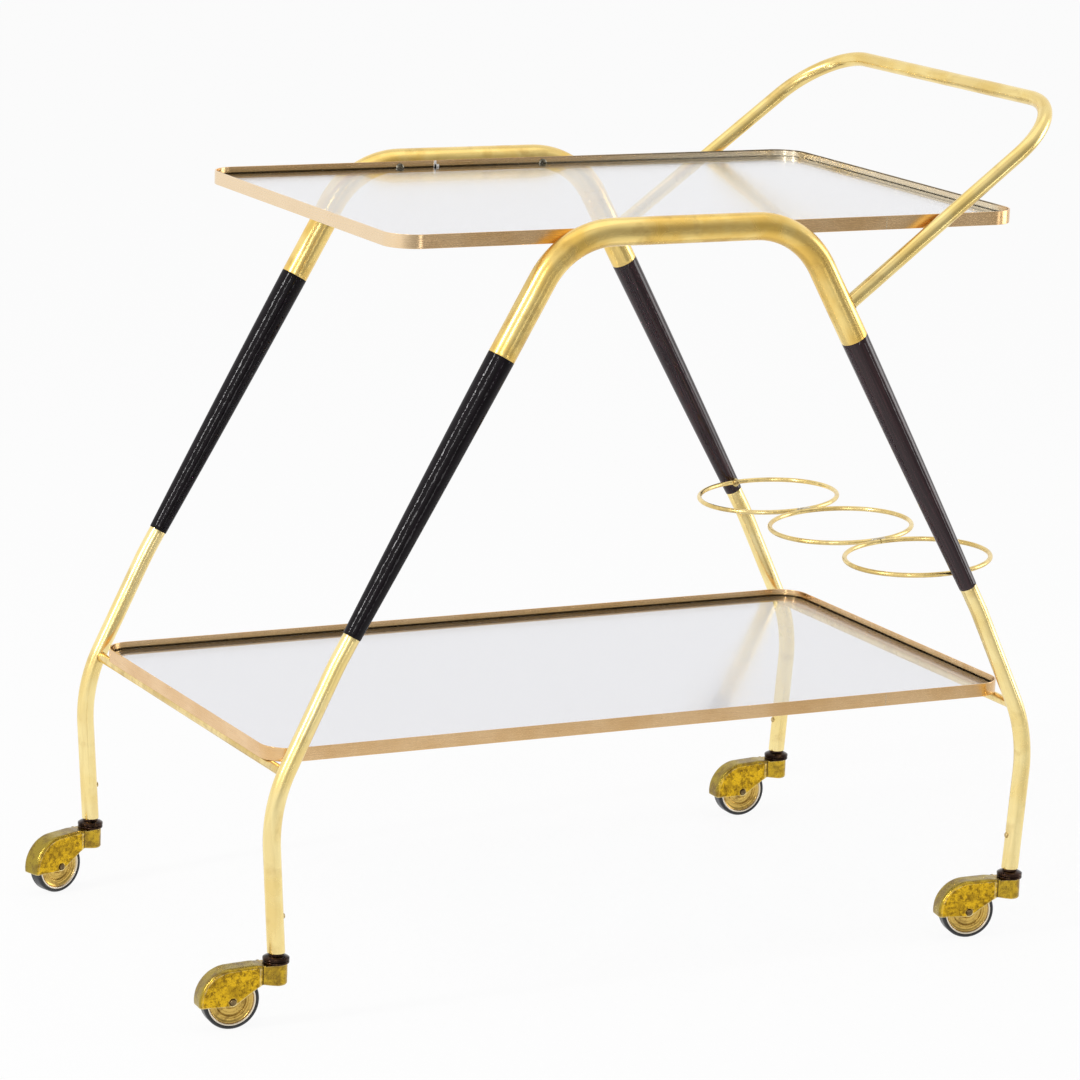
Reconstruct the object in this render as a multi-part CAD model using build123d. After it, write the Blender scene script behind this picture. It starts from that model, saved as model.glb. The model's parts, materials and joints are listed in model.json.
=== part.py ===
from build123d import *
import os
from math import cos, degrees, radians, sin, tan

# A bar cart on four casters: two side frames, two glass trays, a push handle and a bottle rack.
# Millimetres and degrees. +X runs along the cart to the handle end, +Y across it, +Z up.
# Each piece is made with x = 0 and y = 0 midway between the legs and z = 0 on the floor.

# Side frames
frame_depth = 394.0  # from the middle of one side frame to the middle of the other
arch_height = 603.6  # middle of the arch's level run above the floor
arch_half_length = 102.9  # from the cart's middle to where the arch's two runs would cross
arch_leg = 106.7  # from that crossing down to the wood
arch_tube = 22.0
arch_wall = 1.5
arch_bend = 70.0
leg_lean = 29.5  # of the arch's legs and the wood, from upright
wood_length = 241.3
wood_shoulder = 0.4  # how far the wood's thin end stands proud of the lower tube
wood_belly = 0.4  # how far the taper swells past a straight one
upper_tenon = 28.0
lower_tenon = 20.0
lower_tube = 14.0
lower_wall = 1.0
kink_run = 24.0  # straight run of the lower tube round the tenon
kink_bend = 200.0
slant_run = 119.5
slant_lean = 26.0
foot_bend = 125.0
foot_lean = -3.8  # the foot leans back under the cart
glue_gap = 0.05  # round a tenon, plug or pin that is fixed

# Crossbars and trays
crossbar_size = 8.0
crossbar_up = 27.0  # along the slanted run from the foot's bend
crossbar_inset = 1.5  # inside the middle of the legs
band_height = 11.0
band_wall = 1.2
ledge_width = 8.0
ledge_wall = 1.5
tray_corner = 24.0
glass_thickness = 4.0
glass_gap = 1.75  # all round, inside the band
glass_edge = 0.5  # ground edge
upper_length = 554.0
upper_shift = 35.0  # towards the handle
upper_rim_rise = 2.0  # top of the band above the middle of the arch
lower_overhang = 5.0  # past the middle of the crossbars
lower_shift = -0.8
lower_side_gap = 11.5  # between the band and the legs

# Slotted screws of the upper tray
tray_screw_spread = 67.0  # each side of the cart's middle
tray_screw_drop = 5.3  # below the top of the band
tray_screw_head = 7.4
tray_screw_head_height = 1.5
tray_screw_shank = 3.0
tray_screw_grip = 7.0  # from the band's inner face to the tip
slot_width = 1.0
slot_depth = 0.8
tray_screw_turns = (12.0, 74.0, 35.0, 118.0)  # how each slot happens to lie
screw_round = 0.6  # rounding of a head's edge

# Push handle
handle_tube = 12.0
handle_wall = 1.5
handle_foot = 80.3  # from the arch's crossing down its leg
handle_rise = 36.8  # above level
handle_reach = 259.0
handle_draw_in = 3.5  # each end of the grip lies this much nearer the middle
handle_bend = 62.6

# Bottle rack
ring_wire = 4.0
ring_height = 9.3  # above the wood's thin end
ring_gap = 1.65  # between ring and ring, and between ring and leg
ring_cut = 0.8  # where the bent wire's two ends meet
rack_tilt = 4.0  # the rings hang on their two screws, up on the handle's side
solder_length = 15.0
solder_height = 5.6
solder_round = 2.7
lug_size = 7.0
lug_seat = 0.3  # flat under the screw's head, inside the wire
ring_screw_head = 4.6
ring_screw_head_height = 1.6
ring_screw_shank = 2.4
ring_screw_grip = 11.0  # into the wood
ring_screw_slot = 0.7
ring_screw_turn = 20.0

# Casters
wheel_size = 45.0
tyre_thickness = 2.8
tyre_width = 12.4
tyre_shoulder = 1.3
lip_width = 11.8
lip_step = 1.0
dish_width = 6.4
dish_ring = 13.0  # radius of the raised ring
dish_ring_rise = 1.1
hub_size = 11.0
axle_size = 5.0
axle_dome = 0.6
run_gap = 0.05  # round a pin that something turns on
side_gap = 0.4  # between the hub and the hood's walls
wheel_gap = 1.9  # between the tyre and the hood's crown
hood_wall = 2.1
hood_width = 18.8
hood_round = 3.5
hood_rise = 3.0  # slope of the crown, up towards the boss
hood_low = 3.9  # metal under the axle's middle
hood_rear = 3.0  # height of the rear edge below the axle's middle
hood_front = 11.8  # height of the front edge above the axle's middle
panel_margin = 2.5
panel_depth = 0.5
trail = 37.0  # axle behind the stem
boss_width = 18.2
boss_reach = 13.2  # flat-sided part of the boss, back from the stem
boss_height = 17.0
boss_slope = 11.0  # underside, up towards the hood
boss_round = 1.6
washer_sink = 0.3  # the hood's crown over the wheel above the boss
washer_size = 20.8
washer_height = 2.0
washer_round = 0.7
swivel_gap = 0.5
collar_size = 21.0
collar_rim = 1.9
collar_bevel = 2.0
neck_size = 12.8
neck_height = 1.7
stem_size = 7.0
stem_grip = 24.0  # inside the lower tube
socket_length = 34.0
set_screw_up = 28.0  # above the end of the tube
set_screw_size = 4.6
set_screw_dome = 1.1
set_screw_round = 1.0
set_screw_shank = 3.0
set_screw_grip = 9.0
# How far each caster happens to be turned, from trailing straight back
caster_turn = {"left_far": 18.0, "left_near": -4.0, "right_far": -1.2, "right_near": -10.6}

touch = 0.01  # how near two places count as one

# Worked out from the sizes above
frame_half = frame_depth / 2
wheel_radius = wheel_size / 2
hood_radius = wheel_radius + wheel_gap + hood_wall
hood_top = wheel_radius + hood_radius
boss_top = hood_top - washer_sink
washer_top = boss_top + washer_height
collar_bottom = washer_top + swivel_gap
collar_top = collar_bottom + collar_rim + collar_bevel
caster_top = collar_top + neck_height
wood_thin = lower_tube + 2 * wood_shoulder
axle_length = hood_width + 2 * axle_dome
hub_length = hood_width - 2 * hood_wall - 2 * side_gap


def down(lean):
    """Step of one millimetre down a leg that leans this far from upright, as (x, z)."""
    return sin(radians(lean)), -cos(radians(lean))


def along(start, lean, length):
    """Point of a side frame this far down a leaning run from start."""
    step = down(lean)
    return start[0] + step[0] * length, start[1] + step[1] * length


# Points of one leg in its side frame, as (x, z)
arch_corner = (arch_half_length, arch_height)
upper_joint = along(arch_corner, leg_lean, arch_leg)
lower_joint = along(upper_joint, leg_lean, wood_length)
kink = along(lower_joint, leg_lean, kink_run)
foot_corner = along(kink, slant_lean, slant_run)
foot_run = (foot_corner[1] - caster_top) / cos(radians(foot_lean))
foot = along(foot_corner, foot_lean, foot_run)

ENDS = {"left": -1, "right": 1}
SIDES = {"near": -1, "far": 1}
LEGS = [(end, side) for end in ENDS for side in SIDES]


def in_frame(point, end, side):
    """A leg's point as a place in the cart. end and side are -1 or 1."""
    return Vector(end * point[0], side * frame_half, point[1])


def leg_plane(point, lean, end, side):
    """A plane square to a leg, whose z axis runs down it."""
    step = down(lean)
    runs_down = Vector(end * step[0], 0, step[1])
    return Plane(origin=in_frame(point, end, side), x_dir=(0, 1, 0), z_dir=runs_down)


def tube(points, radii, outside, inside=0):
    """A round bar or tube along straight runs joined by arcs."""
    path = FilletPolyline(*points, radius=radii)
    start = Plane(origin=path @ 0, z_dir=path % 0)
    section = start * Circle(outside / 2)
    if inside:
        section -= start * Circle(inside / 2)
    return sweep(section, path=path)


def turned(profile, plane):
    """A turned solid from (radius, height) points, standing on a plane along its z axis."""
    points = [(radius, 0, height) for radius, height in profile]
    face = make_face(Polyline(*points, close=True))
    return plane * revolve(face, Axis.Z)


def pin(plane, size, start, end):
    """A round pin on a plane's z axis, from start to end."""
    return plane * Pos(0, 0, start) * Cylinder(
        size / 2, end - start, align=(Align.CENTER, Align.CENTER, Align.MIN)
    )


def slotted_screw(plane, head, head_height, shank, grip, slot, turn):
    """A screw whose head stands up from a plane, with its shank below."""
    body = pin(plane, head, 0, head_height)
    top_edges = body.edges().filter_by(GeomType.CIRCLE).sort_by(Axis(plane.origin, plane.z_dir))
    body = fillet(top_edges[-1], screw_round)
    body += pin(plane, shank, -grip, 0)
    cut = Box(2 * head, slot, 2 * slot_depth)
    return body - plane * Pos(0, 0, head_height) * Rot(0, 0, turn) * cut


def solid_arch(side, bore=0):
    """The arch of one side frame, solid unless a bore is given."""
    points = [
        in_frame(upper_joint, -1, side),
        in_frame(arch_corner, -1, side),
        in_frame(arch_corner, 1, side),
        in_frame(upper_joint, 1, side),
    ]
    return tube(points, [arch_bend, arch_bend], arch_tube, bore)


def solid_lower_leg(end, side, bore=0):
    """A lower tube, solid unless a bore is given, cut level at the foot."""
    past_foot = along(foot, foot_lean, lower_tube)
    points = [in_frame(point, end, side) for point in (lower_joint, kink, foot_corner, past_foot)]
    bar = tube(points, [kink_bend, foot_bend], lower_tube, bore)
    return split(bar, Plane(origin=(0, 0, caster_top)), keep=Keep.TOP)


# Screws of the upper tray, square to the side frames
band_inner = frame_half - arch_tube / 2 - band_wall
tray_screw_z = arch_height + upper_rim_rise - tray_screw_drop


def tray_screw_plane(end, side):
    """Where a tray screw's head sits on the band, facing the middle of the tray."""
    place = (end * tray_screw_spread, side * band_inner, tray_screw_z)
    return Plane(origin=place, x_dir=(1, 0, 0), z_dir=(0, -side, 0))


def tray_screw_hole(end, side):
    return pin(tray_screw_plane(end, side), tray_screw_shank + 2 * glue_gap, -2 * arch_tube, arch_tube / 2)


# Bottle rack between the right wood legs, on a line through its two screws
ring_z = lower_joint[1] + ring_height
ring_along = wood_length - ring_height / cos(radians(leg_lean))
ring_x = along(upper_joint, leg_lean, ring_along)[0]


def wood_radius(distance):
    """Radius of the wood this far down from its thick end."""
    share = distance / wood_length
    straight = arch_tube / 2 + (wood_thin - arch_tube) / 2 * share
    return straight + wood_belly * 4 * share * (1 - share)


rack_span = 2 * (frame_half - wood_radius(ring_along))
ring_pitch = (rack_span - ring_gap) / 3
ring_radius = (ring_pitch - ring_gap - ring_wire) / 2
RINGS = {"near": -ring_pitch, "middle": 0, "far": ring_pitch}


def ring_screw_plane(side):
    """Where a ring screw's head sits inside the ring's wire, facing the ring's middle."""
    place = (ring_x, side * (ring_pitch + ring_radius - ring_wire / 2 - lug_seat), ring_z)
    return Plane(origin=place, x_dir=(1, 0, 0), z_dir=(0, -side, 0))


def ring_screw_length():
    return lug_seat + ring_wire + ring_gap + ring_screw_grip


def make_arch(side):
    arch = solid_arch(side, arch_tube - 2 * arch_wall)
    for end in ENDS.values():
        arch -= tray_screw_hole(end, side)
    return arch


def make_wood_leg(end, side):
    thick = arch_tube / 2
    thin = wood_thin / 2
    top_pin = thick - arch_wall - glue_gap
    low_pin = lower_tube / 2 - lower_wall - glue_gap
    length = wood_length
    swell = ((thick + thin) / 2 + 2 * wood_belly, 0, length / 2)
    outline = Polyline((0, 0, -upper_tenon), (top_pin, 0, -upper_tenon), (top_pin, 0, 0), (thick, 0, 0))
    outline += Bezier((thick, 0, 0), swell, (thin, 0, length))
    outline += Polyline(
        (thin, 0, length),
        (low_pin, 0, length),
        (low_pin, 0, length + lower_tenon),
        (0, 0, length + lower_tenon),
        (0, 0, -upper_tenon),
    )
    leg = leg_plane(upper_joint, leg_lean, end, side) * revolve(make_face(outline), Axis.Z)
    if end == ENDS["right"]:
        leg -= pin(ring_screw_plane(side), ring_screw_shank + 2 * glue_gap, -ring_screw_length(), 0)
    return leg


def foot_screw_plane(end, side):
    """Where a set screw's dome sits on the inner side of a foot."""
    middle = along(foot, foot_lean, -set_screw_up / cos(radians(foot_lean)))
    step = down(foot_lean)
    inward = Vector(end * step[1], 0, -step[0])
    place = in_frame(middle, end, side) + inward * (lower_tube / 2)
    return Plane(origin=place, x_dir=(0, 1, 0), z_dir=inward)


def foot_screw_hole(end, side):
    plane = foot_screw_plane(end, side)
    return pin(plane, set_screw_shank + 2 * glue_gap, -set_screw_grip, lower_tube / 2)


def make_lower_leg(end, side):
    leg = solid_lower_leg(end, side, lower_tube - 2 * lower_wall)
    return leg - foot_screw_hole(end, side)


# Crossbars, on the slanted run just above the foot's bend
crossbar_at = along(foot_corner, slant_lean, -crossbar_up)
crossbar_x = crossbar_at[0] - crossbar_inset
crossbar_z = crossbar_at[1]


def make_crossbar(end):
    plane = Plane(origin=(end * crossbar_x, 0, crossbar_z), x_dir=(1, 0, 0), z_dir=(0, 1, 0))
    bar = pin(plane, crossbar_size, -frame_half, frame_half)
    for side in SIDES.values():
        bar -= solid_lower_leg(end, side)
    return bar


def rounded_plate(length, width, corner, bottom, thickness, shift):
    """A level plate with round corners."""
    return Pos(shift, 0, bottom) * extrude(RectangleRounded(length, width, corner), thickness)


def make_rim(length, width, bottom, shift):
    """A band with a ledge round its inside."""
    past = band_height
    ledge_in = 2 * (band_wall + ledge_width)
    rim = rounded_plate(length, width, tray_corner, bottom, band_height, shift)
    rim -= rounded_plate(
        length - 2 * band_wall,
        width - 2 * band_wall,
        tray_corner - band_wall,
        bottom + ledge_wall,
        band_height,
        shift,
    )
    hole_length = length - ledge_in
    hole_width = width - ledge_in
    hole_corner = tray_corner - band_wall - ledge_width
    return rim - rounded_plate(hole_length, hole_width, hole_corner, bottom - past, 2 * past, shift)


def make_glass(length, width, bottom, shift):
    """A glass plate that lies on the ledge."""
    less = band_wall + glass_gap
    plate = rounded_plate(
        length - 2 * less, width - 2 * less, tray_corner - less, bottom + ledge_wall, glass_thickness, shift
    )
    faces = plate.faces().filter_by(Axis.Z)
    return chamfer(faces.edges(), glass_edge)


upper_width = 2 * (frame_half - arch_tube / 2)
upper_bottom = arch_height + upper_rim_rise - band_height
lower_length = 2 * (crossbar_x + lower_overhang)
lower_width = 2 * (frame_half - lower_tube / 2 - lower_side_gap)
lower_bottom = crossbar_z + crossbar_size / 2


def make_upper_rim():
    rim = make_rim(upper_length, upper_width, upper_bottom, upper_shift)
    for end in ENDS.values():
        for side in SIDES.values():
            rim -= tray_screw_hole(end, side)
    return rim


def make_tray_screws():
    screws = []
    turns = list(tray_screw_turns)
    for end in ENDS.values():
        for side in SIDES.values():
            plane = tray_screw_plane(end, side)
            sizes = (tray_screw_head, tray_screw_head_height, tray_screw_shank, tray_screw_grip)
            screws.append(slotted_screw(plane, *sizes, slot_width, turns.pop(0)))
    return Compound(screws)


# Push handle: a U whose legs rise from the right legs of the arches
handle_low = along(arch_corner, leg_lean, handle_foot)
handle_high = (
    handle_low[0] + handle_reach * cos(radians(handle_rise)),
    handle_low[1] + handle_reach * sin(radians(handle_rise)),
)


def make_handle():
    grip_half = frame_half - handle_draw_in
    points = [
        Vector(handle_low[0], -frame_half, handle_low[1]),
        Vector(handle_high[0], -grip_half, handle_high[1]),
        Vector(handle_high[0], grip_half, handle_high[1]),
        Vector(handle_low[0], frame_half, handle_low[1]),
    ]
    handle = tube(points, [handle_bend, handle_bend], handle_tube, handle_tube - 2 * handle_wall)
    for side in SIDES.values():
        plane = leg_plane(handle_low, leg_lean, 1, side)
        handle -= pin(plane, arch_tube, -2 * handle_tube, 2 * handle_tube)
    return handle


def ring_wire_solid(name, cut_angle=0.0):
    """A ring's wire, bent round from one side of its cut to the other."""
    start = -90 if name == "near" else 90
    level = Plane(origin=(ring_x, RINGS[name], ring_z)) * Rot(0, -rack_tilt, 0)
    plane = level * Rot(0, 0, start + 180 + cut_angle / 2)
    section = Plane.XZ * Pos(ring_radius, 0) * Circle(ring_wire / 2)
    return plane * revolve(section, Axis.Z, revolution_arc=360 - cut_angle)


def make_ring(name):
    """A ring with its cut towards the next ring. An end ring has a lug where it meets a leg."""
    wire = ring_wire_solid(name, degrees(ring_cut / ring_radius))
    if name == "middle":
        return wire
    side = SIDES[name]
    plane = ring_screw_plane(side)
    wood_at = along(upper_joint, leg_lean, ring_along)
    thick = wood_radius(ring_along - lug_size)
    thin = wood_radius(ring_along + lug_size)
    wood = leg_plane(wood_at, leg_lean, 1, side) * Cone(thick, thin, 2 * lug_size)
    lug = pin(plane, lug_size, -ring_wire - lug_seat - ring_gap - wood_thin / 2, 0) - wood
    hole = pin(plane, ring_screw_shank + 2 * glue_gap, -ring_screw_length(), ring_wire)
    return wire + lug - hole


def make_solder():
    """Beads that join each ring to the next, round the wires."""
    bead = Rot(0, 90, 0) * Cylinder(solder_height / 2, solder_length)
    bead = fillet(bead.edges().filter_by(GeomType.CIRCLE), solder_round)
    beads = []
    for pair in (("near", "middle"), ("middle", "far")):
        middle = (RINGS[pair[0]] + RINGS[pair[1]]) / 2
        joined = Pos(ring_x, middle, ring_z) * Rot(0, -rack_tilt, 0) * bead
        for name in pair:
            joined -= ring_wire_solid(name)
        beads.append(joined)
    return Compound(beads)


def make_ring_screws():
    screws = []
    for name in ("near", "far"):
        plane = ring_screw_plane(SIDES[name])
        sizes = (ring_screw_head, ring_screw_head_height, ring_screw_shank, ring_screw_length())
        screws.append(slotted_screw(plane, *sizes, ring_screw_slot, ring_screw_turn))
    return Compound(screws)


def caster_place(end, side):
    """Frame of a caster: its stem on the z axis, and its trail along -x."""
    turn = caster_turn[f"{end}_{side}"]
    place = in_frame(foot, ENDS[end], SIDES[side])
    return Pos(place.X, place.Y, 0) * Rot(0, 0, turn)


def side_face(points):
    """A face in the caster's middle plane from (distance behind the stem, height) points."""
    return make_face(Polyline(*[(-back, 0, height) for back, height in points], close=True))


def both_ways(face, width):
    """A face in the middle plane made this wide."""
    return extrude(face, width / 2, both=True)


def round_disc(radius, width):
    """A disc about the caster's axle."""
    return Pos(-trail, 0, wheel_radius) * Rot(90, 0, 0) * Cylinder(radius, width)


def crown_point(radius, stretch=1):
    """Where the crown's straight run meets the round about the axle, or further out."""
    out = radius * stretch
    return trail + out * sin(radians(hood_rise)), wheel_radius + out * cos(radians(hood_rise))


def crown_height(radius, back):
    """Height of the crown's straight run this far behind the stem."""
    start = crown_point(radius)
    return start[1] + (start[0] - back) * tan(radians(hood_rise))


def hood_body(front, radius, lower_edge, rear, width):
    """A side outline made solid: down the crown, round the wheel to the rear, then the lower edge."""
    meet = crown_point(radius)
    beyond = crown_point(radius, 2)
    past = trail + 2 * radius
    fore = side_face([(front, crown_height(radius, front)), meet, *lower_edge])
    behind = side_face([meet, beyond, (past, beyond[1]), (past, rear), lower_edge[0]])
    return both_ways(fore, width) + (round_disc(radius, width) & both_ways(behind, width))


def make_hood():
    """A cast hood over the wheel, and the boss that takes the stem."""
    low = wheel_radius - hood_low
    lower_edge = [
        (trail, low),
        (trail - hood_low / 2, low + hood_low / 8),
        (boss_reach, wheel_radius + hood_front),
    ]
    shell = hood_body(boss_reach, hood_radius, lower_edge, wheel_radius - hood_rear, hood_width)
    crown = [
        edge
        for edge in shell.edges()
        if abs(abs(edge.center().Y) - hood_width / 2) < touch
        and edge.center().X < -boss_reach - touch
        and (edge.center().Z > wheel_radius + hood_radius / 2 or edge.geom_type == GeomType.CIRCLE)
    ]
    shell = fillet(crown, min(hood_round, hood_width / 4))
    front = boss_reach + panel_margin
    panel = hood_body(front, hood_radius - panel_margin, [(trail, 0), (front, 0)], 0, 2 * panel_depth)
    for side in SIDES.values():
        shell -= Pos(0, side * hood_width / 2, 0) * panel
    boss_bottom = boss_top - boss_height
    flat = Pos(-boss_reach / 2, 0, 0) * Rectangle(boss_reach, boss_width)
    boss = Pos(0, 0, boss_bottom) * extrude(Circle(boss_width / 2) + flat, hood_radius)
    boss = fillet(boss.faces().sort_by(Axis.Z)[0].edges().filter_by(GeomType.CIRCLE), boss_round)
    ahead = -boss_width
    under_crown = [(ahead, 0), (ahead, crown_height(hood_radius, ahead))]
    under_crown += [(boss_reach, crown_height(hood_radius, boss_reach)), (boss_reach, 0)]
    boss &= both_ways(side_face(under_crown), 2 * boss_width)
    wedge = Box(2 * trail, 2 * hood_width, boss_height, align=(Align.MAX, Align.CENTER, Align.MAX))
    boss -= Pos(0, 0, boss_bottom) * Rot(0, boss_slope, 0) * wedge
    hood = shell + boss
    cavity_radius = hood_radius - hood_wall
    cavity_width = hood_width - 2 * hood_wall
    hood -= round_disc(cavity_radius, cavity_width)
    hood -= Pos(-trail, 0, 0) * Box(2 * cavity_radius, cavity_width, 2 * wheel_radius)
    washer_reach = washer_size / 2 + side_gap
    seat = Box(2 * washer_reach, 2 * hood_width, boss_height, align=(Align.CENTER, Align.CENTER, Align.MIN))
    hood -= Pos(0, 0, boss_top) * seat
    hood -= pin(Plane.XY, stem_size + 2 * glue_gap, boss_bottom + hood_wall, hood_top)
    return hood - round_disc(axle_size / 2 + glue_gap, 2 * hood_width)


def make_stem():
    start = boss_top - boss_height + hood_wall
    stem = pin(Plane.XY, stem_size, start, caster_top + stem_grip)
    return chamfer(stem.edges().filter_by(GeomType.CIRCLE).sort_by(Axis.Z)[-1], stem_size / 8)


def make_washer():
    washer = pin(Plane.XY, washer_size, boss_top, washer_top)
    washer = fillet(washer.edges().filter_by(GeomType.CIRCLE), washer_round)
    return washer - pin(Plane.XY, stem_size + 2 * glue_gap, 0, 2 * washer_top)


def make_collar():
    bore = stem_size / 2 + run_gap
    rim = collar_size / 2
    neck = neck_size / 2
    edge = collar_bevel / 6
    bevel_start = collar_bottom + collar_rim
    profile = [
        (bore, collar_bottom),
        (rim - edge, collar_bottom),
        (rim, collar_bottom + edge),
        (rim, bevel_start),
        (neck, collar_top),
        (neck, caster_top),
        (bore, caster_top),
    ]
    return turned(profile, Plane.XY)


def make_axle():
    axle = round_disc(axle_size / 2, axle_length)
    return fillet(axle.edges().filter_by(GeomType.CIRCLE), axle_dome)


def mirrored(profile):
    """A half profile of (radius, half width) points, carried round to the other face."""
    return profile + [(radius, -half) for radius, half in reversed(profile)]


def axle_plane():
    return Plane(origin=(-trail, 0, wheel_radius), x_dir=(1, 0, 0), z_dir=(0, 1, 0))


def make_wheel():
    """A dished disc with a raised ring and a lip on each face."""
    bore = axle_size / 2 + run_gap
    hub = hub_size / 2
    seat = wheel_radius - tyre_thickness
    lip = lip_width / 2
    dish = dish_width / 2
    profile = [
        (bore, hub_length / 2),
        (hub - lip_step / 2, hub_length / 2),
        (hub, hub_length / 2 - lip_step / 2),
        (hub + lip_step, dish),
        (dish_ring - lip_step, dish),
        (dish_ring - lip_step / 2, dish + dish_ring_rise),
        (dish_ring + lip_step / 2, dish + dish_ring_rise),
        (dish_ring + 2 * lip_step, dish + dish_ring_rise / 2),
        (seat - 2 * lip_step, dish + dish_ring_rise),
        (seat - lip_step, lip),
        (seat, lip),
    ]
    return turned(mirrored(profile), axle_plane())


def make_tyre():
    seat = wheel_radius - tyre_thickness
    half = tyre_width / 2
    tyre = turned([(seat, -half), (wheel_radius, -half), (wheel_radius, half), (seat, half)], axle_plane())
    outer = [edge for edge in tyre.edges().filter_by(GeomType.CIRCLE) if edge.radius > wheel_radius - touch]
    return fillet(outer, tyre_shoulder)


def make_socket(end, side):
    """The plug in a lower tube, with an upright bore for the stem."""
    plane = leg_plane(foot, foot_lean, end, side)
    plug = pin(plane, lower_tube - 2 * lower_wall - 2 * glue_gap, -socket_length, lower_tube)
    plug = split(plug, Plane(origin=(0, 0, caster_top)), keep=Keep.TOP)
    place = in_frame(foot, end, side)
    upright = Plane(origin=(place.X, place.Y, 0))
    plug -= pin(upright, stem_size + 2 * run_gap, 0, caster_top + stem_grip + swivel_gap)
    return plug - foot_screw_hole(end, side)


def make_set_screws():
    screws = []
    for end in ENDS.values():
        for side in SIDES.values():
            plane = foot_screw_plane(end, side)
            screw = pin(plane, set_screw_size, -set_screw_dome, set_screw_dome)
            top = screw.edges().filter_by(GeomType.CIRCLE).sort_by(Axis(plane.origin, plane.z_dir))[-1]
            screw = fillet(top, set_screw_round) - solid_lower_leg(end, side)
            screws.append(screw + pin(plane, set_screw_shank, -set_screw_grip, 0))
    return Compound(screws)


def make_cart():
    """Every piece by its node name."""
    pieces = {}
    for side_name, side in SIDES.items():
        pieces[f"arch_{side_name}"] = make_arch(side)
    for end_name, side_name in LEGS:
        end = ENDS[end_name]
        side = SIDES[side_name]
        pieces[f"wood_leg_{end_name}_{side_name}"] = make_wood_leg(end, side)
        pieces[f"lower_leg_{end_name}_{side_name}"] = make_lower_leg(end, side)
        pieces[f"caster_socket_{end_name}_{side_name}"] = make_socket(end, side)
    for end_name, end in ENDS.items():
        pieces[f"crossbar_{end_name}"] = make_crossbar(end)
    pieces["upper_tray_rim"] = make_upper_rim()
    pieces["upper_tray_glass"] = make_glass(upper_length, upper_width, upper_bottom, upper_shift)
    pieces["upper_tray_screws"] = make_tray_screws()
    pieces["lower_tray_rim"] = make_rim(lower_length, lower_width, lower_bottom, lower_shift)
    pieces["lower_tray_glass"] = make_glass(lower_length, lower_width, lower_bottom, lower_shift)
    pieces["handle"] = make_handle()
    for name in RINGS:
        pieces[f"bottle_ring_{name}"] = make_ring(name)
    pieces["ring_solder"] = make_solder()
    pieces["ring_screws"] = make_ring_screws()
    pieces["caster_set_screws"] = make_set_screws()
    makers = {
        "collar": make_collar,
        "washer": make_washer,
        "hood": make_hood,
        "stem": make_stem,
        "axle": make_axle,
        "wheel": make_wheel,
        "tyre": make_tyre,
    }
    for name, maker in makers.items():
        piece = maker()
        for end_name, side_name in LEGS:
            pieces[f"caster_{name}_{end_name}_{side_name}"] = caster_place(end_name, side_name) * piece
    return pieces


def main():
    pieces = make_cart()
    box = Compound(list(pieces.values())).bounding_box()
    centre = (box.min + box.max) / 2
    os.makedirs("parts", exist_ok=True)
    for name, piece in pieces.items():
        export_step(Pos(-centre.X, -centre.Y, 0) * piece, f"parts/{name}.step")
    print("moved by", round(-centre.X, 4), round(-centre.Y, 4))
    print("overall", box.size, "lowest", round(box.min.Z, 4))
    for label, point in {"upper joint": upper_joint, "lower joint": lower_joint, "foot": foot}.items():
        print(label, round(point[0], 2), round(point[1], 2))
    print("rings", round(ring_radius, 2), round(ring_pitch, 2), "at", round(ring_x, 2), round(ring_z, 2))
    print("nodes", len(pieces))


if __name__ == "__main__":
    main()
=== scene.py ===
# %% [markdown]
# # A bar cart on casters, dressed in Blender
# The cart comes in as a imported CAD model, which gives every piece its place in metres.
# This lesson adds what the CAD can't hold: polished and tarnished brass, gloss lacquer,
# clear glass, rubber, and the small shapes that catch the light.
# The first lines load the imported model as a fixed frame. Nothing after them moves it.
# Blender works in metres, so a size in millimetres is written as a number times mm.

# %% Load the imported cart
import json
from math import cos, degrees, pi, radians, sin, sqrt

import bmesh
import bpy
import numpy as np
from mathutils import Matrix, Vector, noise


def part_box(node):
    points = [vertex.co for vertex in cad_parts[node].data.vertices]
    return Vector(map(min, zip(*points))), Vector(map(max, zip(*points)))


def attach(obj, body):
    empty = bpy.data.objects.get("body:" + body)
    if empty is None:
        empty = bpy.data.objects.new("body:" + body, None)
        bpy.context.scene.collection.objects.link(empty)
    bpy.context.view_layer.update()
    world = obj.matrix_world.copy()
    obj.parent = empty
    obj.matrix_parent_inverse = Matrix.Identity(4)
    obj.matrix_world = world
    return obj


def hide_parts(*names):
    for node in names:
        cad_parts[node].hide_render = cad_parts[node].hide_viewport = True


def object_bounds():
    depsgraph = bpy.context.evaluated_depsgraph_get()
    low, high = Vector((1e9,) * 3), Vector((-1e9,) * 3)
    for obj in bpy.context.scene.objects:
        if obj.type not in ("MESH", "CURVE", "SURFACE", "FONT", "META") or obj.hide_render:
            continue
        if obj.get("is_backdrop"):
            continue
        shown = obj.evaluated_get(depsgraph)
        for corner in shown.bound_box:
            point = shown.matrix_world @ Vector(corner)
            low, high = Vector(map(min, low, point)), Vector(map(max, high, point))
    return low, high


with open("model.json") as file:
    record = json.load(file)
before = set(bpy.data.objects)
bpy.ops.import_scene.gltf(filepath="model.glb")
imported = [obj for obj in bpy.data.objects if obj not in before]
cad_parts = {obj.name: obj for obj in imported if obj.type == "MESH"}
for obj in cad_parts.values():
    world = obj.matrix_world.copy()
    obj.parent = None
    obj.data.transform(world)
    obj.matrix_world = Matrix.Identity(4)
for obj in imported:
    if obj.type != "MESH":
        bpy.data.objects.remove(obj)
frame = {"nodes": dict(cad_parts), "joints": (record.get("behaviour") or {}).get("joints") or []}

mm = 0.001
cad_low, cad_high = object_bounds()
print("CAD box in mm", [round(value / mm, 1) for value in (*cad_low, *cad_high)])

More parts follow.
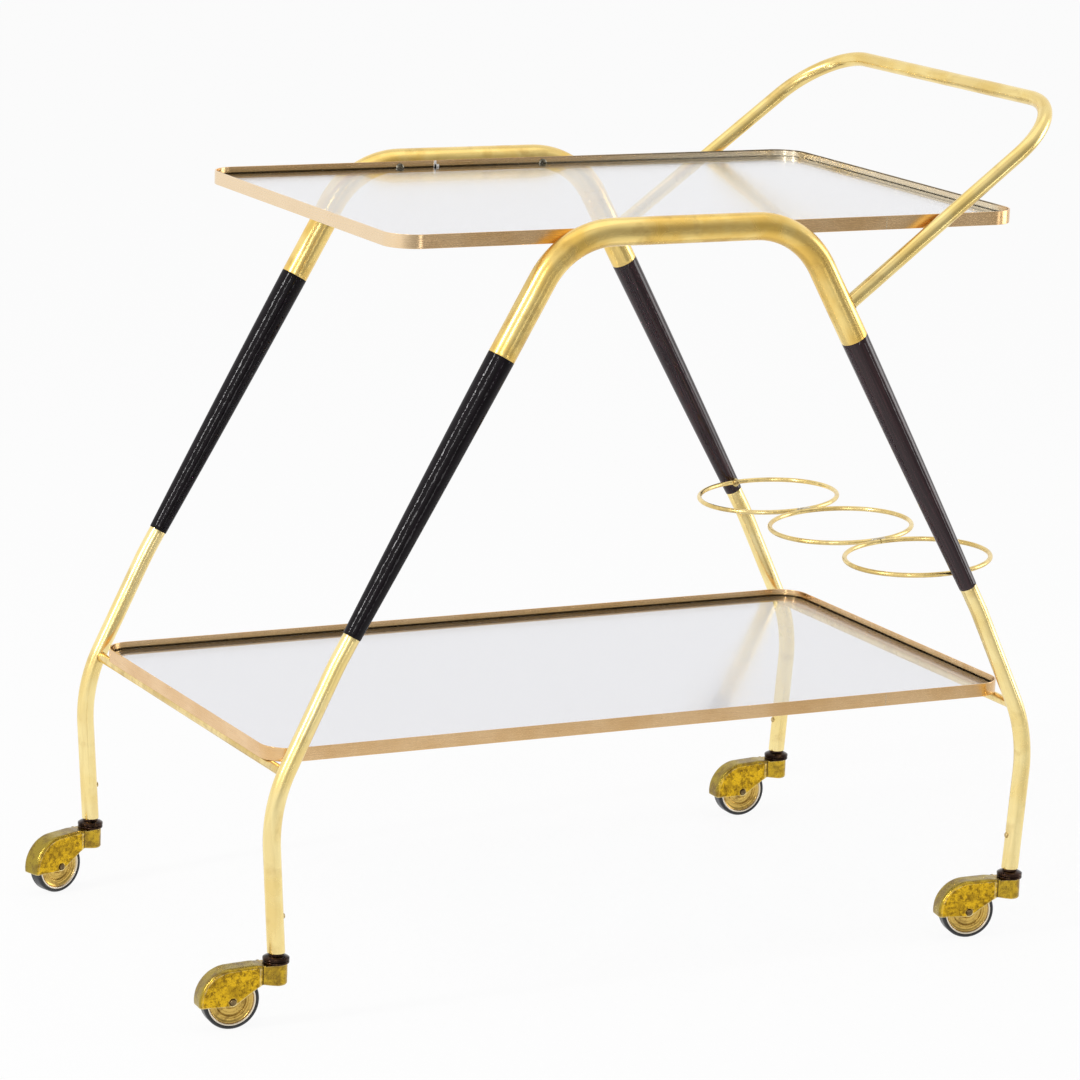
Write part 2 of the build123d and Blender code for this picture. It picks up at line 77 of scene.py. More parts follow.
# %% [markdown]
# ## The camera
# A long lens far from the cart shows it almost without perspective, as in a catalogue.
# The camera's place and its slight roll were fitted to the cart's joints in the photograph.
# We build its matrix from three directions instead of guessing angles: right, up and back.

# %% Place the camera
camera_place = Vector((-1.6614, -3.2700, 1.1286))
camera_target = Vector((0.00425, 0.00306, 0.31587))
camera_roll = radians(2.052)

camera_data = bpy.data.cameras.new("camera")
camera_data.sensor_width = 36.0
camera_data.lens = 152.56
camera_data.clip_end = 100.0
camera = bpy.data.objects.new("camera", camera_data)
bpy.context.scene.collection.objects.link(camera)

back = (camera_place - camera_target).normalized()
level = Vector((0, 0, 1)).cross(back).normalized()
rise = back.cross(level)
right = level * cos(camera_roll) + rise * sin(camera_roll)
up = rise * cos(camera_roll) - level * sin(camera_roll)
turned = Matrix((right, up, back)).transposed().to_4x4()
camera.matrix_world = Matrix.Translation(camera_place) @ turned
bpy.context.scene.camera = camera
bpy.context.scene.view_settings.view_transform = "Standard"
print("camera is", round((camera_place - camera_target).length, 3), "m from the cart")

# %% [markdown]
# ## A small kit for node trees
# Materials and Geometry Nodes are both trees of nodes. One helper adds a node, sets its
# options, and fills each input with a number or with a link. It keeps later cells short.

# %% Node helpers
def add(tree, kind, values=None, **options):
    """Adds a node. values gives each input a number, or an output to link it to."""
    made = tree.nodes.new(kind)
    for option, value in options.items():
        setattr(made, option, value)
    for name, value in (values or {}).items():
        if isinstance(value, bpy.types.NodeSocket):
            tree.links.new(value, made.inputs[name])
        else:
            made.inputs[name].default_value = value
    return made


def out(tree, kind, values=None, **options):
    """Adds a node and gives its first output."""
    return add(tree, kind, values, **options).outputs[0]


def math(tree, operation, a, b=0.0):
    """One sum, of numbers or outputs."""
    return out(tree, "ShaderNodeMath", {0: a, 1: b}, operation=operation)


def product(tree, first, *others):
    """Numbers or outputs, multiplied together."""
    for other in others:
        first = math(tree, "MULTIPLY", first, other)
    return first


def mix(tree, share, a, b):
    """Colour a where share is 0, colour b where it is 1."""
    return add(tree, "ShaderNodeMix", {0: share, 6: a, 7: b}, data_type="RGBA").outputs[2]


def ease(tree, value, low, high, start=0.0, end=1.0):
    """start below low, end above high, smooth between them."""
    inputs = {"Value": value, "From Min": low, "From Max": high, "To Min": start, "To Max": end}
    return out(tree, "ShaderNodeMapRange", inputs, interpolation_type="SMOOTHSTEP")


def grain(tree, place, scale, detail=3.0, roughness=0.55, stretch=(1, 1, 1)):
    """Noise of this many lumps a metre, drawn out where stretch is small."""
    if stretch != (1, 1, 1):
        place = out(tree, "ShaderNodeMapping", {"Vector": place, "Scale": stretch})
    inputs = {"Vector": place, "Scale": scale, "Detail": detail, "Roughness": roughness}
    return out(tree, "ShaderNodeTexNoise", inputs)


def mottle(tree, place, lumps, low, high, start=0.0, end=1.0, **more):
    """Noise eased into patches. lumps is what grain takes: scale, detail, roughness."""
    return ease(tree, grain(tree, place, *lumps, **more), low, high, start, end)


def axes(tree, place):
    """A place's X, Y and Z, as outputs."""
    return add(tree, "ShaderNodeSeparateXYZ", {0: place}).outputs


def colour(red, green, blue):
    return (red, green, blue, 1.0)


def start_material(name):
    """A new material and its empty tree."""
    material = bpy.data.materials.new(name)
    material.use_nodes = True
    material.node_tree.nodes.clear()
    return material, material.node_tree


white = colour(1, 1, 1)
print("node helpers ready")

# %% [markdown]
# ## Floor, backdrop and light
# The studio is white. A brass tube has little colour of its own: it shows the room, tinted
# gold. So the room matters as much as the material. Floor and walls are white, but one side
# of the studio, in front and to the right, is left dim, as it is where no paper hangs. What
# faces that way turns deep gold, and the rest stays pale. Four soft lights draw the long
# highlights. Upright metal mirrors the floor, never a lamp, so two bright strips of floor on
# either side of the camera draw its highlights. The camera sees plain white, by Light Path.

# %% The white room
dim_way = (0.45, -0.89, 0.0)
dim_light = 0.42
ceiling_light = 0.88
soft_light = colour(0.62, 0.62, 0.63)


def towards_dim(tree, place):
    """How far a direction or a place lies to the dim side."""
    values = {0: place, 1: dim_way}
    return add(tree, "ShaderNodeVectorMath", values, operation="DOT_PRODUCT").outputs["Value"]


room = bpy.data.worlds.new("white_room")
bpy.context.scene.world = room
room.use_nodes = True
tree = room.node_tree
tree.nodes.clear()
towards = add(tree, "ShaderNodeTexCoord").outputs["Generated"]
height = axes(tree, towards)["Z"]
walls = ease(tree, towards_dim(tree, towards), 0.45, 0.98, 1.0, dim_light)
light = product(tree, walls, ease(tree, height, 0.35, 0.90, 1.0, ceiling_light))
seen_in_metal = out(tree, "ShaderNodeCombineColor", {0: light, 1: light, 2: light})
path = add(tree, "ShaderNodeLightPath").outputs
mirrored = math(tree, "MAXIMUM", path["Is Glossy Ray"], path["Is Transmission Ray"])
lit = mix(tree, mirrored, soft_light, seen_in_metal)
shown = mix(tree, path["Is Camera Ray"], lit, white)
background = out(tree, "ShaderNodeBackground", {"Color": shown, "Strength": 1.0})
add(tree, "ShaderNodeOutputWorld", {"Surface": background})
print("room has", len(tree.nodes), "nodes")

# %% The floor
floor_half = 9.0
strip_bearings = (0.13, 0.86)  # radians from -y towards +x
strip_edge = (0.03, 0.07)  # radians from the strip's middle, where it fades
strip_start = (1.5, 1.9)  # metres from the cart's middle, where it begins
strip_light = 3.2
paper_shown = 0.92  # the rest of the floor's colour is matt, and takes the shadow
floor_mesh = bpy.data.meshes.new("floor")
corners = [(-1, -1), (1, -1), (1, 1), (-1, 1)]
floor_mesh.from_pydata([(x * floor_half, y * floor_half, 0) for x, y in corners], [], [(0, 1, 2, 3)])
floor = bpy.data.objects.new("floor", floor_mesh)
bpy.context.scene.collection.objects.link(floor)
floor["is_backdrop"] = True
print("floor is", 2 * floor_half, "m across")

# %% Its paper
paper, tree = start_material("white_paper")
spot = add(tree, "ShaderNodeTexCoord").outputs["Object"]
across = axes(tree, spot)
bearing = math(tree, "ARCTAN2", across["X"], product(tree, across["Y"], -1.0))
away = add(tree, "ShaderNodeVectorMath", {0: spot}, operation="LENGTH").outputs["Value"]
far_off = ease(tree, away, *strip_start)
light = ease(tree, towards_dim(tree, spot), 0.15, 1.9, 1.0, dim_light)
for strip_bearing in strip_bearings:
    aside = math(tree, "ABSOLUTE", math(tree, "SUBTRACT", bearing, strip_bearing))
    strip = product(tree, far_off, ease(tree, aside, *strip_edge, strip_light, 0.0))
    light = math(tree, "ADD", light, strip)
path = add(tree, "ShaderNodeLightPath").outputs
matt = out(tree, "ShaderNodeBsdfDiffuse", {"Color": colour(0.86, 0.86, 0.86)})
plain = out(tree, "ShaderNodeEmission", {"Color": white, "Strength": 1.0})
mirrored = out(tree, "ShaderNodeEmission", {"Color": white, "Strength": light})
shown = out(tree, "ShaderNodeMixShader", {0: path["Is Glossy Ray"], 1: plain, 2: mirrored})
clean = math(tree, "MAXIMUM", path["Is Camera Ray"], path["Is Glossy Ray"])
clean = math(tree, "MAXIMUM", clean, path["Is Transmission Ray"])
clean = product(tree, clean, paper_shown)
surface = out(tree, "ShaderNodeMixShader", {0: clean, 1: matt, 2: shown})
add(tree, "ShaderNodeOutputMaterial", {"Surface": surface})
floor_mesh.materials.append(paper)
print("its paper has", len(tree.nodes), "nodes")

# %% Four soft lights
cart_middle = Vector((0, 0, 0.35))
lamps = {  # place, width and height in metres, and watts
    "key_from_left": ((-2.7, -0.3, 2.0), (0.18, 1.7), 36),
    "strip_by_the_camera": ((-2.1, -2.6, 1.6), (0.14, 1.5), 12),
    "fill_from_right": ((2.5, -0.5, 0.75), (1.0, 1.3), 13),
    "wide_overhead": ((0.1, 0.2, 2.9), (2.6, 1.8), 6),
}
for name, (place, lamp_size, watts) in lamps.items():
    data = bpy.data.lights.new(name, "AREA")
    data.shape = "RECTANGLE"
    data.size, data.size_y = lamp_size
    data.energy = watts
    lamp = bpy.data.objects.new(name, data)
    lamp.location = place
    lamp.rotation_mode = "QUATERNION"
    lamp.rotation_quaternion = (cart_middle - Vector(place)).to_track_quat("-Z", "Y")
    bpy.context.scene.collection.objects.link(lamp)
print(len(lamps), "lights")

# %% [markdown]
# ## Finishes that follow the metal
# Noise needs a place to live. A flat colour pattern fixed to the world would cut through a
# bent tube, so swept pieces carry two attributes: "skin", the place on the cross-section,
# and "along", the distance down the bar. Together they are the tube, straightened out.
# Each tube starts its "along" at another number, so that no two show the same stains.
# Cast and turned pieces are compact, and use plain Object coordinates.

# %% Where a pattern lives
def on_the_bar(tree):
    """Place on a swept piece as if it lay straight: cross-section in x and y, length in z."""
    skin = add(tree, "ShaderNodeAttribute", attribute_name="skin").outputs["Vector"]
    along = add(tree, "ShaderNodeAttribute", attribute_name="along").outputs["Fac"]
    section = axes(tree, skin)
    return out(tree, "ShaderNodeCombineXYZ", {"X": section["X"], "Y": section["Y"], "Z": along})


def in_the_solid(tree):
    """Place inside a compact piece."""
    return add(tree, "ShaderNodeTexCoord").outputs["Object"]


def painted(tree, name):
    """A number that the mesh carries at each vertex."""
    return add(tree, "ShaderNodeAttribute", attribute_name=name).outputs["Fac"]


def close_material(tree, values, height=None, depth=0.0):
    """Ends a material in one shader. height is raised by up to depth metres."""
    if height is not None:
        bump = {"Height": height, "Distance": depth, "Strength": 1.0}
        values = {**values, "Normal": out(tree, "ShaderNodeBump", bump)}
    shader = add(tree, "ShaderNodeBsdfPrincipled", values)
    add(tree, "ShaderNodeOutputMaterial", {"Surface": shader.outputs[0]})


def close_metal(tree, base, rough, height, depth, metallic=1.0):
    values = {"Base Color": base, "Metallic": metallic, "Roughness": rough}
    close_material(tree, values, height, depth)


print("pattern helpers ready")

# %% [markdown]
# ## Aged, hand-polished brass
# The tubes were polished long ago and handled since. Close up the gold is cloudy: broad
# paler and deeper patches, a thin brown film in places, and a few specks. Two slow noises
# mix three golds, and the slower one also dulls the metal, so colour and gloss agree. Fine
# noise stays out of the gloss, where it would glitter. The arches are the deepest gold, the
# legs and the grip the palest, and one function with three colours makes them all.

# %% Brass of the tubes
def make_tube_brass(name, place, light, deep, film):
    material, tree = start_material(name)
    spot = place(tree)
    clouds = mottle(tree, spot, (24, 3), 0.38, 0.66)
    drawn = mottle(tree, spot, (160, 2), 0.35, 0.72, stretch=(1, 1, 0.12))
    base = mix(tree, clouds, light, deep)
    filmed = mottle(tree, spot, (55, 3, 0.5), 0.54, 0.74, 0.0, 0.5)
    base = mix(tree, filmed, base, film)
    specks = mottle(tree, spot, (520, 2), 0.70, 0.78, 0.0, 0.5)
    base = mix(tree, specks, base, film)
    streaks = ease(tree, drawn, 0.2, 0.8, 0.0, 0.22)
    base = mix(tree, streaks, base, film)
    rough = ease(tree, clouds, 0.0, 1.0, 0.22, 0.28)
    wavy = grain(tree, spot, 30, 2, 0.5)
    close_metal(tree, base, rough, wavy, 0.02 * mm)
    return material


golds = {  # light, deep, and the brown film
    "arch": (colour(0.97, 0.73, 0.27), colour(0.87, 0.565, 0.13), colour(0.55, 0.345, 0.09)),
    "leg": (colour(0.98, 0.81, 0.39), colour(0.94, 0.73, 0.29), colour(0.68, 0.48, 0.18)),
    "grip": (colour(0.94, 0.74, 0.31), colour(0.86, 0.63, 0.21), colour(0.58, 0.39, 0.13)),
    "bar": (colour(0.92, 0.72, 0.32), colour(0.76, 0.55, 0.19), colour(0.42, 0.28, 0.10)),
}
arch_brass = make_tube_brass("aged_arch_brass", on_the_bar, *golds["arch"])
leg_brass = make_tube_brass("aged_leg_brass", on_the_bar, *golds["leg"])
grip_brass = make_tube_brass("aged_grip_brass", on_the_bar, *golds["grip"])
bar_brass = make_tube_brass("aged_bar_brass", in_the_solid, *golds["bar"])
print("tube brass made:", *golds)

# %% [markdown]
# ## Satin band round the trays
# The rims are rolled strip, rubbed lengthwise with fine paper. It is redder than the tubes.
# Noise squeezed thin across the band and drawn out along it makes the rubbing marks, in
# both gloss and height. Broad clouds keep the long straight sides from looking printed.

# %% Brass of the bands
satin_brass, tree = start_material("satin_band_brass")
spot = on_the_bar(tree)
rubbed = grain(tree, spot, 1500, 3, stretch=(1, 1, 0.03))
clouds = mottle(tree, spot, (18, 4), 0.36, 0.68)
base = mix(tree, clouds, colour(0.86, 0.59, 0.32), colour(0.77, 0.49, 0.23))
marks = ease(tree, rubbed, 0.45, 0.75, 0.0, 0.35)
base = mix(tree, marks, base, colour(0.60, 0.37, 0.18))
specks = mottle(tree, spot, (600, 2), 0.68, 0.76, 0.0, 0.5)
base = mix(tree, specks, base, colour(0.34, 0.21, 0.12))
print("band brass has", len(tree.nodes), "nodes so far")

# %% [markdown]
# ## Painted light and shade on the bands
# Inside the rim the lower wall is painted deeper, a painted shade, and a dark line is painted
# where the glass meets the band, a painted shadow of the gap. At the handle's end of the
# upper rim the inside is painted pale, a painted reflection of the bright room, with a painted
# dark line along its top edge; at the other end the outside is painted pale, a painted
# highlight from the lamp on the left. The strip's own drawing says where a point is on it:
# x runs out from the outer face, and y down from the foot, so both are below 0 inside the strip.

# %% Painted light and shade on the bands
on_strip = axes(tree, spot)
outwards, downwards = on_strip["X"], on_strip["Y"]
in_room = axes(tree, in_the_solid(tree))
upper_rim = ease(tree, in_room["Z"], 0.40, 0.50)
inner_wall = ease(tree, outwards, -0.8 * mm, -1.1 * mm)
# Painted shade: the lower part of the inner wall is painted deeper.
low_wall_shade = ease(tree, downwards, -10.0 * mm, -7.2 * mm, 0.0, 0.45)
base = mix(tree, product(tree, inner_wall, low_wall_shade), base, colour(0.46, 0.31, 0.11))
# Painted shadow: a dark line just above the glass, for the shade of the gap between glass and band.
above_ledge = ease(tree, outwards, -1.8 * mm, -1.4 * mm)
glass_line = ease(tree, downwards, -6.7 * mm, -6.4 * mm)
gap_shadow = product(tree, glass_line, inner_wall, above_ledge, 0.85)
base = mix(tree, gap_shadow, base, colour(0.060, 0.038, 0.014))
# Painted reflection: at the handle's end of the upper rim the inner wall is painted pale, as it mirrors
# the bright room.
handle_end = product(tree, ease(tree, in_room["X"], 0.00, 0.30), upper_rim)
handle_end = product(tree, handle_end, ease(tree, in_room["Y"], -0.17, -0.14))
base = mix(tree, product(tree, handle_end, inner_wall, 0.8), base, colour(0.97, 0.87, 0.66))
# Painted shade: a dark line along the top edge there.
top_edge_shade = product(tree, ease(tree, downwards, -9.7 * mm, -10.2 * mm), handle_end, 0.85)
top_edge_shade = product(tree, top_edge_shade, ease(tree, outwards, -0.2 * mm, -0.6 * mm))
base = mix(tree, top_edge_shade, base, colour(0.080, 0.055, 0.022))
# Painted highlight: at the rim's other end the outer face is painted pale, as it faces the lamp on the
# left.
other_end = product(tree, ease(tree, in_room["X"], -0.19, -0.23), upper_rim)
outer_face = math(tree, "SUBTRACT", 1.0, inner_wall)
base = mix(tree, product(tree, other_end, outer_face, 0.75), base, colour(0.93, 0.76, 0.53))
rough = ease(tree, rubbed, 0.3, 0.7, 0.17, 0.32)
close_metal(tree, base, rough, rubbed, 0.02 * mm)
print("band brass has", len(tree.nodes), "nodes")

# %% [markdown]
# ## Ebonised wood under gloss lacquer
# The legs are turned wood, stained nearly black and lacquered. Two layers explain the look:
# a dark, slightly brown wood with grain along the leg, and a clear coat on top whose faint
# orange peel breaks the white highlights into short dashes. The coat has its own normal.
# The two legs at the handle's end are drawn browner and glossier than the others; their browner colour
# is painted light, for how those legs are lit.

# %% Lacquered wood
def make_lacquered_wood(name, dark, brown, peel, gloss):
    material, tree = start_material(name)
    spot = on_the_bar(tree)
    fibres = grain(tree, spot, 900, 4, 0.6, stretch=(1, 1, 0.025))
    patches = mottle(tree, spot, (30, 3), 0.35, 0.7)
    base = mix(tree, ease(tree, fibres, 0.42, 0.66), dark, brown)
    base = mix(tree, product(tree, patches, 0.5), base, dark)
    rough = ease(tree, fibres, 0.3, 0.7, 0.30, 0.46)
    lacquer = grain(tree, spot, 330, 3, 0.5, stretch=(1, 1, 0.45))
    bump = {"Height": lacquer, "Distance": peel, "Strength": 1.0}
    peeled = out(tree, "ShaderNodeBump", bump)
    values = {"Base Color": base, "Roughness": rough, "Coat Normal": peeled}
    values |= {"Coat Weight": gloss, "Coat Roughness": 0.03, "Specular IOR Level": 0.0}
    close_material(tree, values, fibres, 0.06 * mm)
    return material


black_wood = make_lacquered_wood(
    "black_lacquered_wood", colour(0.0025, 0.001, 0.002), colour(0.008, 0.004, 0.007), 0.20 * mm, 0.38
)
# Painted light: the legs at the handle's end are drawn browner than the black legs, for how they are
# lit.
brown_wood = make_lacquered_wood(
    "brown_lacquered_wood", colour(0.016, 0.005, 0.007), colour(0.048, 0.018, 0.021), 0.08 * mm, 0.85
)
print("lacquered wood made")

# %% [markdown]
# ## Old cast brass
# The caster hoods were cast, filed and lacquered yellow. Their edges are bright, partly from
# wear and partly a painted highlight; in corners the lacquer has gone brown and pitted, and a
# dark line painted along the boss's step is painted shade. Instead of guessing where that is,
# the mesh will carry the edge wear and highlight and the grime of the hollows, measured from
# its own curvature, and "crown", which tells the rounded top from the flat sides. The material only
# mixes.

# %% Cast brass
cast_brass, tree = start_material("old_cast_brass")
spot = in_the_solid(tree)
patchy = mottle(tree, spot, (95, 5, 0.65), 0.44, 0.62)
blotches = mottle(tree, spot, (230, 8, 0.80), 0.45, 0.60, 0.0, 0.85)
side_metal = mix(tree, patchy, colour(0.80, 0.49, 0.022), colour(0.50, 0.30, 0.018))
side_metal = mix(tree, blotches, side_metal, colour(0.19, 0.10, 0.012))
crown_metal = mix(tree, patchy, colour(0.40, 0.29, 0.045), colour(0.25, 0.165, 0.040))
base = mix(tree, painted(tree, "crown"), side_metal, crown_metal)
pits = mottle(tree, spot, (1100, 3, 0.6), 0.58, 0.68, 0.0, 0.8)
base = mix(tree, pits, base, colour(0.12, 0.065, 0.015))
# Grime in the hollows, plus a dark line at the boss's step that is painted shade.
grime_and_shade = product(tree, painted(tree, "hollow"), 0.9)
base = mix(tree, grime_and_shade, base, colour(0.06, 0.035, 0.015))
# Pale paint on bulging edges: partly wear, partly a painted highlight along the edges and the panel's
# rim.
worn = painted(tree, "worn")
base = mix(tree, worn, base, colour(0.90, 0.74, 0.36))
rough = mix(tree, worn, colour(0.24, 0.24, 0.24), colour(0.20, 0.20, 0.20))
rough = math(tree, "ADD", rough, product(tree, blotches, 0.08))
height = math(tree, "SUBTRACT", grain(tree, spot, 150, 2), product(tree, pits, 0.15))
close_metal(tree, base, rough, height, 0.12 * mm)
print("cast brass made")

# %% [markdown]
# ## Small metal parts
# Each small part gets its own metal: near-black bronze for collars and washers, dull steel
# for the tray screws and axles, brass for the small screws and the braze, and two solders.
# They differ only in three colours, gloss and lump size, so one function writes them all.
# The bright solder is hardly metallic and nearly white: its colour is a painted highlight, the glint of
# the solder smear.

# %% A mottled metal
def make_mottled(name, colours, lumps, gloss, dull, depth, metallic=1.0):
    """A metal in light, deep and stained patches. lumps counts them to the metre."""
    light, deep, stain = (colour(*parts) for parts in colours)
    material, tree = start_material(name)
    spot = in_the_solid(tree)
    clouds = mottle(tree, spot, (lumps, 4, 0.6), 0.38, 0.64)
    base = mix(tree, clouds, light, deep)
    stains = mottle(tree, spot, (2.7 * lumps, 5, 0.7), 0.55, 0.70, 0.0, 0.8)
    base = mix(tree, stains, base, stain)
    rough = ease(tree, math(tree, "ADD", clouds, stains), 0.0, 1.6, gloss, dull)
    close_metal(tree, base, rough, grain(tree, spot, 6 * lumps, 3), depth, metallic)
    return material


bronze_colours = (0.048, 0.026, 0.018), (0.018, 0.010, 0.008), (0.16, 0.09, 0.035)
steel_colours = (0.27, 0.25, 0.20), (0.13, 0.115, 0.085), (0.05, 0.04, 0.03)
axle_colours = (0.24, 0.17, 0.08), (0.13, 0.09, 0.045), (0.05, 0.04, 0.03)
glint_painted_colours = (1.0, 0.98, 0.94), (0.95, 0.91, 0.84), (0.55, 0.44, 0.28)
solder_colours = (0.72, 0.66, 0.52), (0.46, 0.39, 0.27), (0.22, 0.15, 0.09)
screw_colours = (0.70, 0.53, 0.24), (0.46, 0.32, 0.13), (0.20, 0.12, 0.05)
braze_colours = (0.55, 0.37, 0.13), (0.30, 0.19, 0.07), (0.12, 0.07, 0.03)
dark_bronze = make_mottled("dark_bronze", bronze_colours, 140, 0.14, 0.30, 0.10 * mm)
steel = make_mottled("screw_steel", steel_colours, 400, 0.22, 0.42, 0.05 * mm)
axle_steel = make_mottled("axle_steel", axle_colours, 380, 0.28, 0.46, 0.08 * mm)
bright_solder = make_mottled("bright_solder", glint_painted_colours, 500, 0.22, 0.40, 0.10 * mm, 0.2)
solder_metal = make_mottled("old_solder", solder_colours, 330, 0.24, 0.48, 0.25 * mm)
screw_brass = make_mottled("small_screw_brass", screw_colours, 420, 0.24, 0.42, 0.08 * mm)
braze_brass = make_mottled("braze_brass", braze_colours, 260, 0.26, 0.46, 0.15 * mm)
print("small metals made")

# %% [markdown]
# ## Wheel discs
# A wheel disc was turned on a lathe, so its tarnish lies in rings round the axle. The mesh
# carries "radius", the distance from the axle in metres. Noise read mostly by radius makes
# the rings, and ordinary noise breaks them up.

# %% Wheel metal
wheel_plate, tree = start_material("tarnished_wheel_plate")
spot = in_the_solid(tree)
radius = painted(tree, "radius")
ringed_place = out(tree, "ShaderNodeCombineXYZ", {"X": radius})
rings = mottle(tree, ringed_place, (300, 2), 0.38, 0.66)
stains = mottle(tree, spot, (170, 5, 0.68), 0.47, 0.66)
base = mix(tree, rings, colour(0.68, 0.46, 0.12), colour(0.45, 0.285, 0.06))
base = mix(tree, product(tree, stains, 0.75), base, colour(0.29, 0.175, 0.045))
specks = mottle(tree, spot, (800, 3), 0.62, 0.72, 0.0, 0.7)
base = mix(tree, specks, base, colour(0.16, 0.10, 0.05))
# Painted highlight: a pale ring is painted at the lip, for the shine the lip catches.
lip_painted_highlight = ease(tree, radius, 17.2 * mm, 19.0 * mm)
base = mix(tree, lip_painted_highlight, base, colour(0.80, 0.72, 0.58))
rough = ease(tree, math(tree, "ADD", stains, rings), 0.0, 2.0, 0.20, 0.40)
close_metal(tree, base, rough, rings, 0.05 * mm)
print("wheel metal made")

# %% [markdown]
# ## Rubber and glass
# Rubber is never pure black: dust greys it and its gloss is soft and uneven.
# The glass has a body that hardly bends light, so what lies behind it stays sharp, and a
# coat that is slightly rough, so what it mirrors is soft. Its grey is a faint tint. Constants
# sit on the shader's own sockets, because the export reads them there.

# %% Rubber and glass
rubber, tree = start_material("tyre_rubber")
spot = in_the_solid(tree)
dust = mottle(tree, spot, (240, 5, 0.7), 0.45, 0.75)
base = mix(tree, dust, colour(0.010, 0.010, 0.012), colour(0.040, 0.038, 0.038))
rough = ease(tree, dust, 0.0, 1.0, 0.30, 0.52)
values = {"Base Color": base, "Roughness": rough}
close_material(tree, values, grain(tree, spot, 900, 3), 0.06 * mm)

clear_glass, tree = start_material("clear_glass")
spot = in_the_solid(tree)
smears = mottle(tree, spot, (9, 4), 0.4, 0.8, 0.0, 0.02)
values = {"Base Color": colour(0.78, 0.78, 0.81), "Roughness": smears}
values |= {"Transmission Weight": 1.0, "IOR": 1.05, "Coat Weight": 1.0, "Coat Roughness": 0.17}
close_material(tree, values)
print("rubber and glass made")

# %% [markdown]
# ## The cart's skeleton
# Everything hangs on a few points of one leg, mirrored four times. We write the sizes once,
# in millimetres times mm, and work the points out, so a reader can check them by hand.

# %% Sizes and points
frame_half = 197.0 * mm
leg_lean = radians(29.5)
slant_lean = radians(26.0)
foot_lean = radians(-3.8)
arch_tube = 22.0 * mm
lower_tube = 14.0 * mm
handle_tube = 12.0 * mm
thick_wall = 1.5 * mm
thin_wall = 1.0 * mm
wood_length = 241.3 * mm
glue_gap = 0.05 * mm

ENDS = {"left": -1, "right": 1}
SIDES = {"near": -1, "far": 1}
LEGS = [(end, side) for end in ENDS for side in SIDES]

joint_of = {joint["name"]: joint for joint in frame["joints"]}
left_foot = joint_of["swivel_left_near"]["pos_m"]
right_foot = joint_of["swivel_right_near"]["pos_m"]
middle_x = (left_foot[0] + right_foot[0]) / 2
caster_top = right_foot[2]


def step_down(point, lean, length):
    """The (x, z) point this far down a leaning run."""
    return point[0] + sin(lean) * length, point[1] - cos(lean) * length


arch_corner = (102.9 * mm, 603.6 * mm)
upper_joint = step_down(arch_corner, leg_lean, 106.7 * mm)
lower_joint = step_down(upper_joint, leg_lean, wood_length)
kink = step_down(lower_joint, leg_lean, 24.0 * mm)
foot_corner = step_down(kink, slant_lean, 119.5 * mm)
foot = step_down(foot_corner, foot_lean, (foot_corner[1] - caster_top) / cos(foot_lean))


def in_cart(point, end, side):
    """A leg's (x, z) point as a place in the cart. end and side are -1 or 1."""
    return Vector((middle_x + end * point[0], side * frame_half, point[1]))


miss = (in_cart(foot, 1, -1).xy - Vector(right_foot[:2])).length
print("foot is off the caster by", round(miss / mm, 3), "mm")

# %% [markdown]
# ## Geometry Nodes, set up by script
# A tree gets a named input for each size. A modifier's inputs are set by their identifiers,
# before the piece is first evaluated. Then the result is copied to a plain mesh and the
# modifier goes, because the export and the frame both want finished meshes.

# %% Tree helpers
def start_tree(name, sizes):
    """A Geometry Nodes tree with a Shape and these named inputs, and the inputs' outputs."""
    grown = bpy.data.node_groups.new(name, "GeometryNodeTree")
    grown.interface.new_socket("Shape", in_out="INPUT", socket_type="NodeSocketGeometry")
    for size, kind in sizes.items():
        grown.interface.new_socket(size, in_out="INPUT", socket_type="NodeSocket" + kind)
    grown.interface.new_socket("Shape", in_out="OUTPUT", socket_type="NodeSocketGeometry")
    return grown, add(grown, "NodeGroupInput").outputs


def end_tree(tree, shape, material):
    whole = out(tree, "GeometryNodeRealizeInstances", {"Geometry": shape})
    dressed = add(tree, "GeometryNodeSetMaterial", {"Geometry": whole, "Material": material})
    add(tree, "NodeGroupOutput", {"Shape": dressed.outputs[0]})


def keep(tree, shape, name, value, kind="FLOAT"):
    """Stores a value under a name at each point."""
    values = {"Geometry": shape, "Name": name, "Value": value}
    return out(tree, "GeometryNodeStoreNamedAttribute", values, data_type=kind, domain="POINT")


def kept(tree, name, kind="FLOAT"):
    """Reads what each point carries under a name."""
    return out(tree, "GeometryNodeInputNamedAttribute", {"Name": name}, data_type=kind)


def settle(piece):
    """Turns what a piece's modifiers make into its plain mesh."""
    graph = bpy.context.evaluated_depsgraph_get()
    evaluated = piece.evaluated_get(graph)
    whole = bpy.data.meshes.new_from_object(evaluated, preserve_all_data_layers=True, depsgraph=graph)
    piece.modifiers.clear()
    piece.data = whole
    whole.name = piece.name
    return piece


def grow(piece, tree, sizes):
    """Runs a tree on a piece with these sizes."""
    growth = piece.modifiers.new("growth", "NODES")
    growth.node_group = tree
    for item in tree.interface.items_tree:
        if item.in_out == "INPUT" and item.name in sizes:
            growth[item.identifier] = sizes[item.name]
    return settle(piece)


def new_piece(name, mesh):
    """An object at the origin with this mesh."""
    piece = bpy.data.objects.new(name, mesh)
    bpy.context.scene.collection.objects.link(piece)
    return piece


def piece_from(name, shape, *finishes):
    """Turns a bmesh into a piece with these materials."""
    mesh = bpy.data.meshes.new(name)
    shape.to_mesh(mesh)
    shape.free()
    for finish in finishes:
        mesh.materials.append(finish)
    return new_piece(name, mesh)


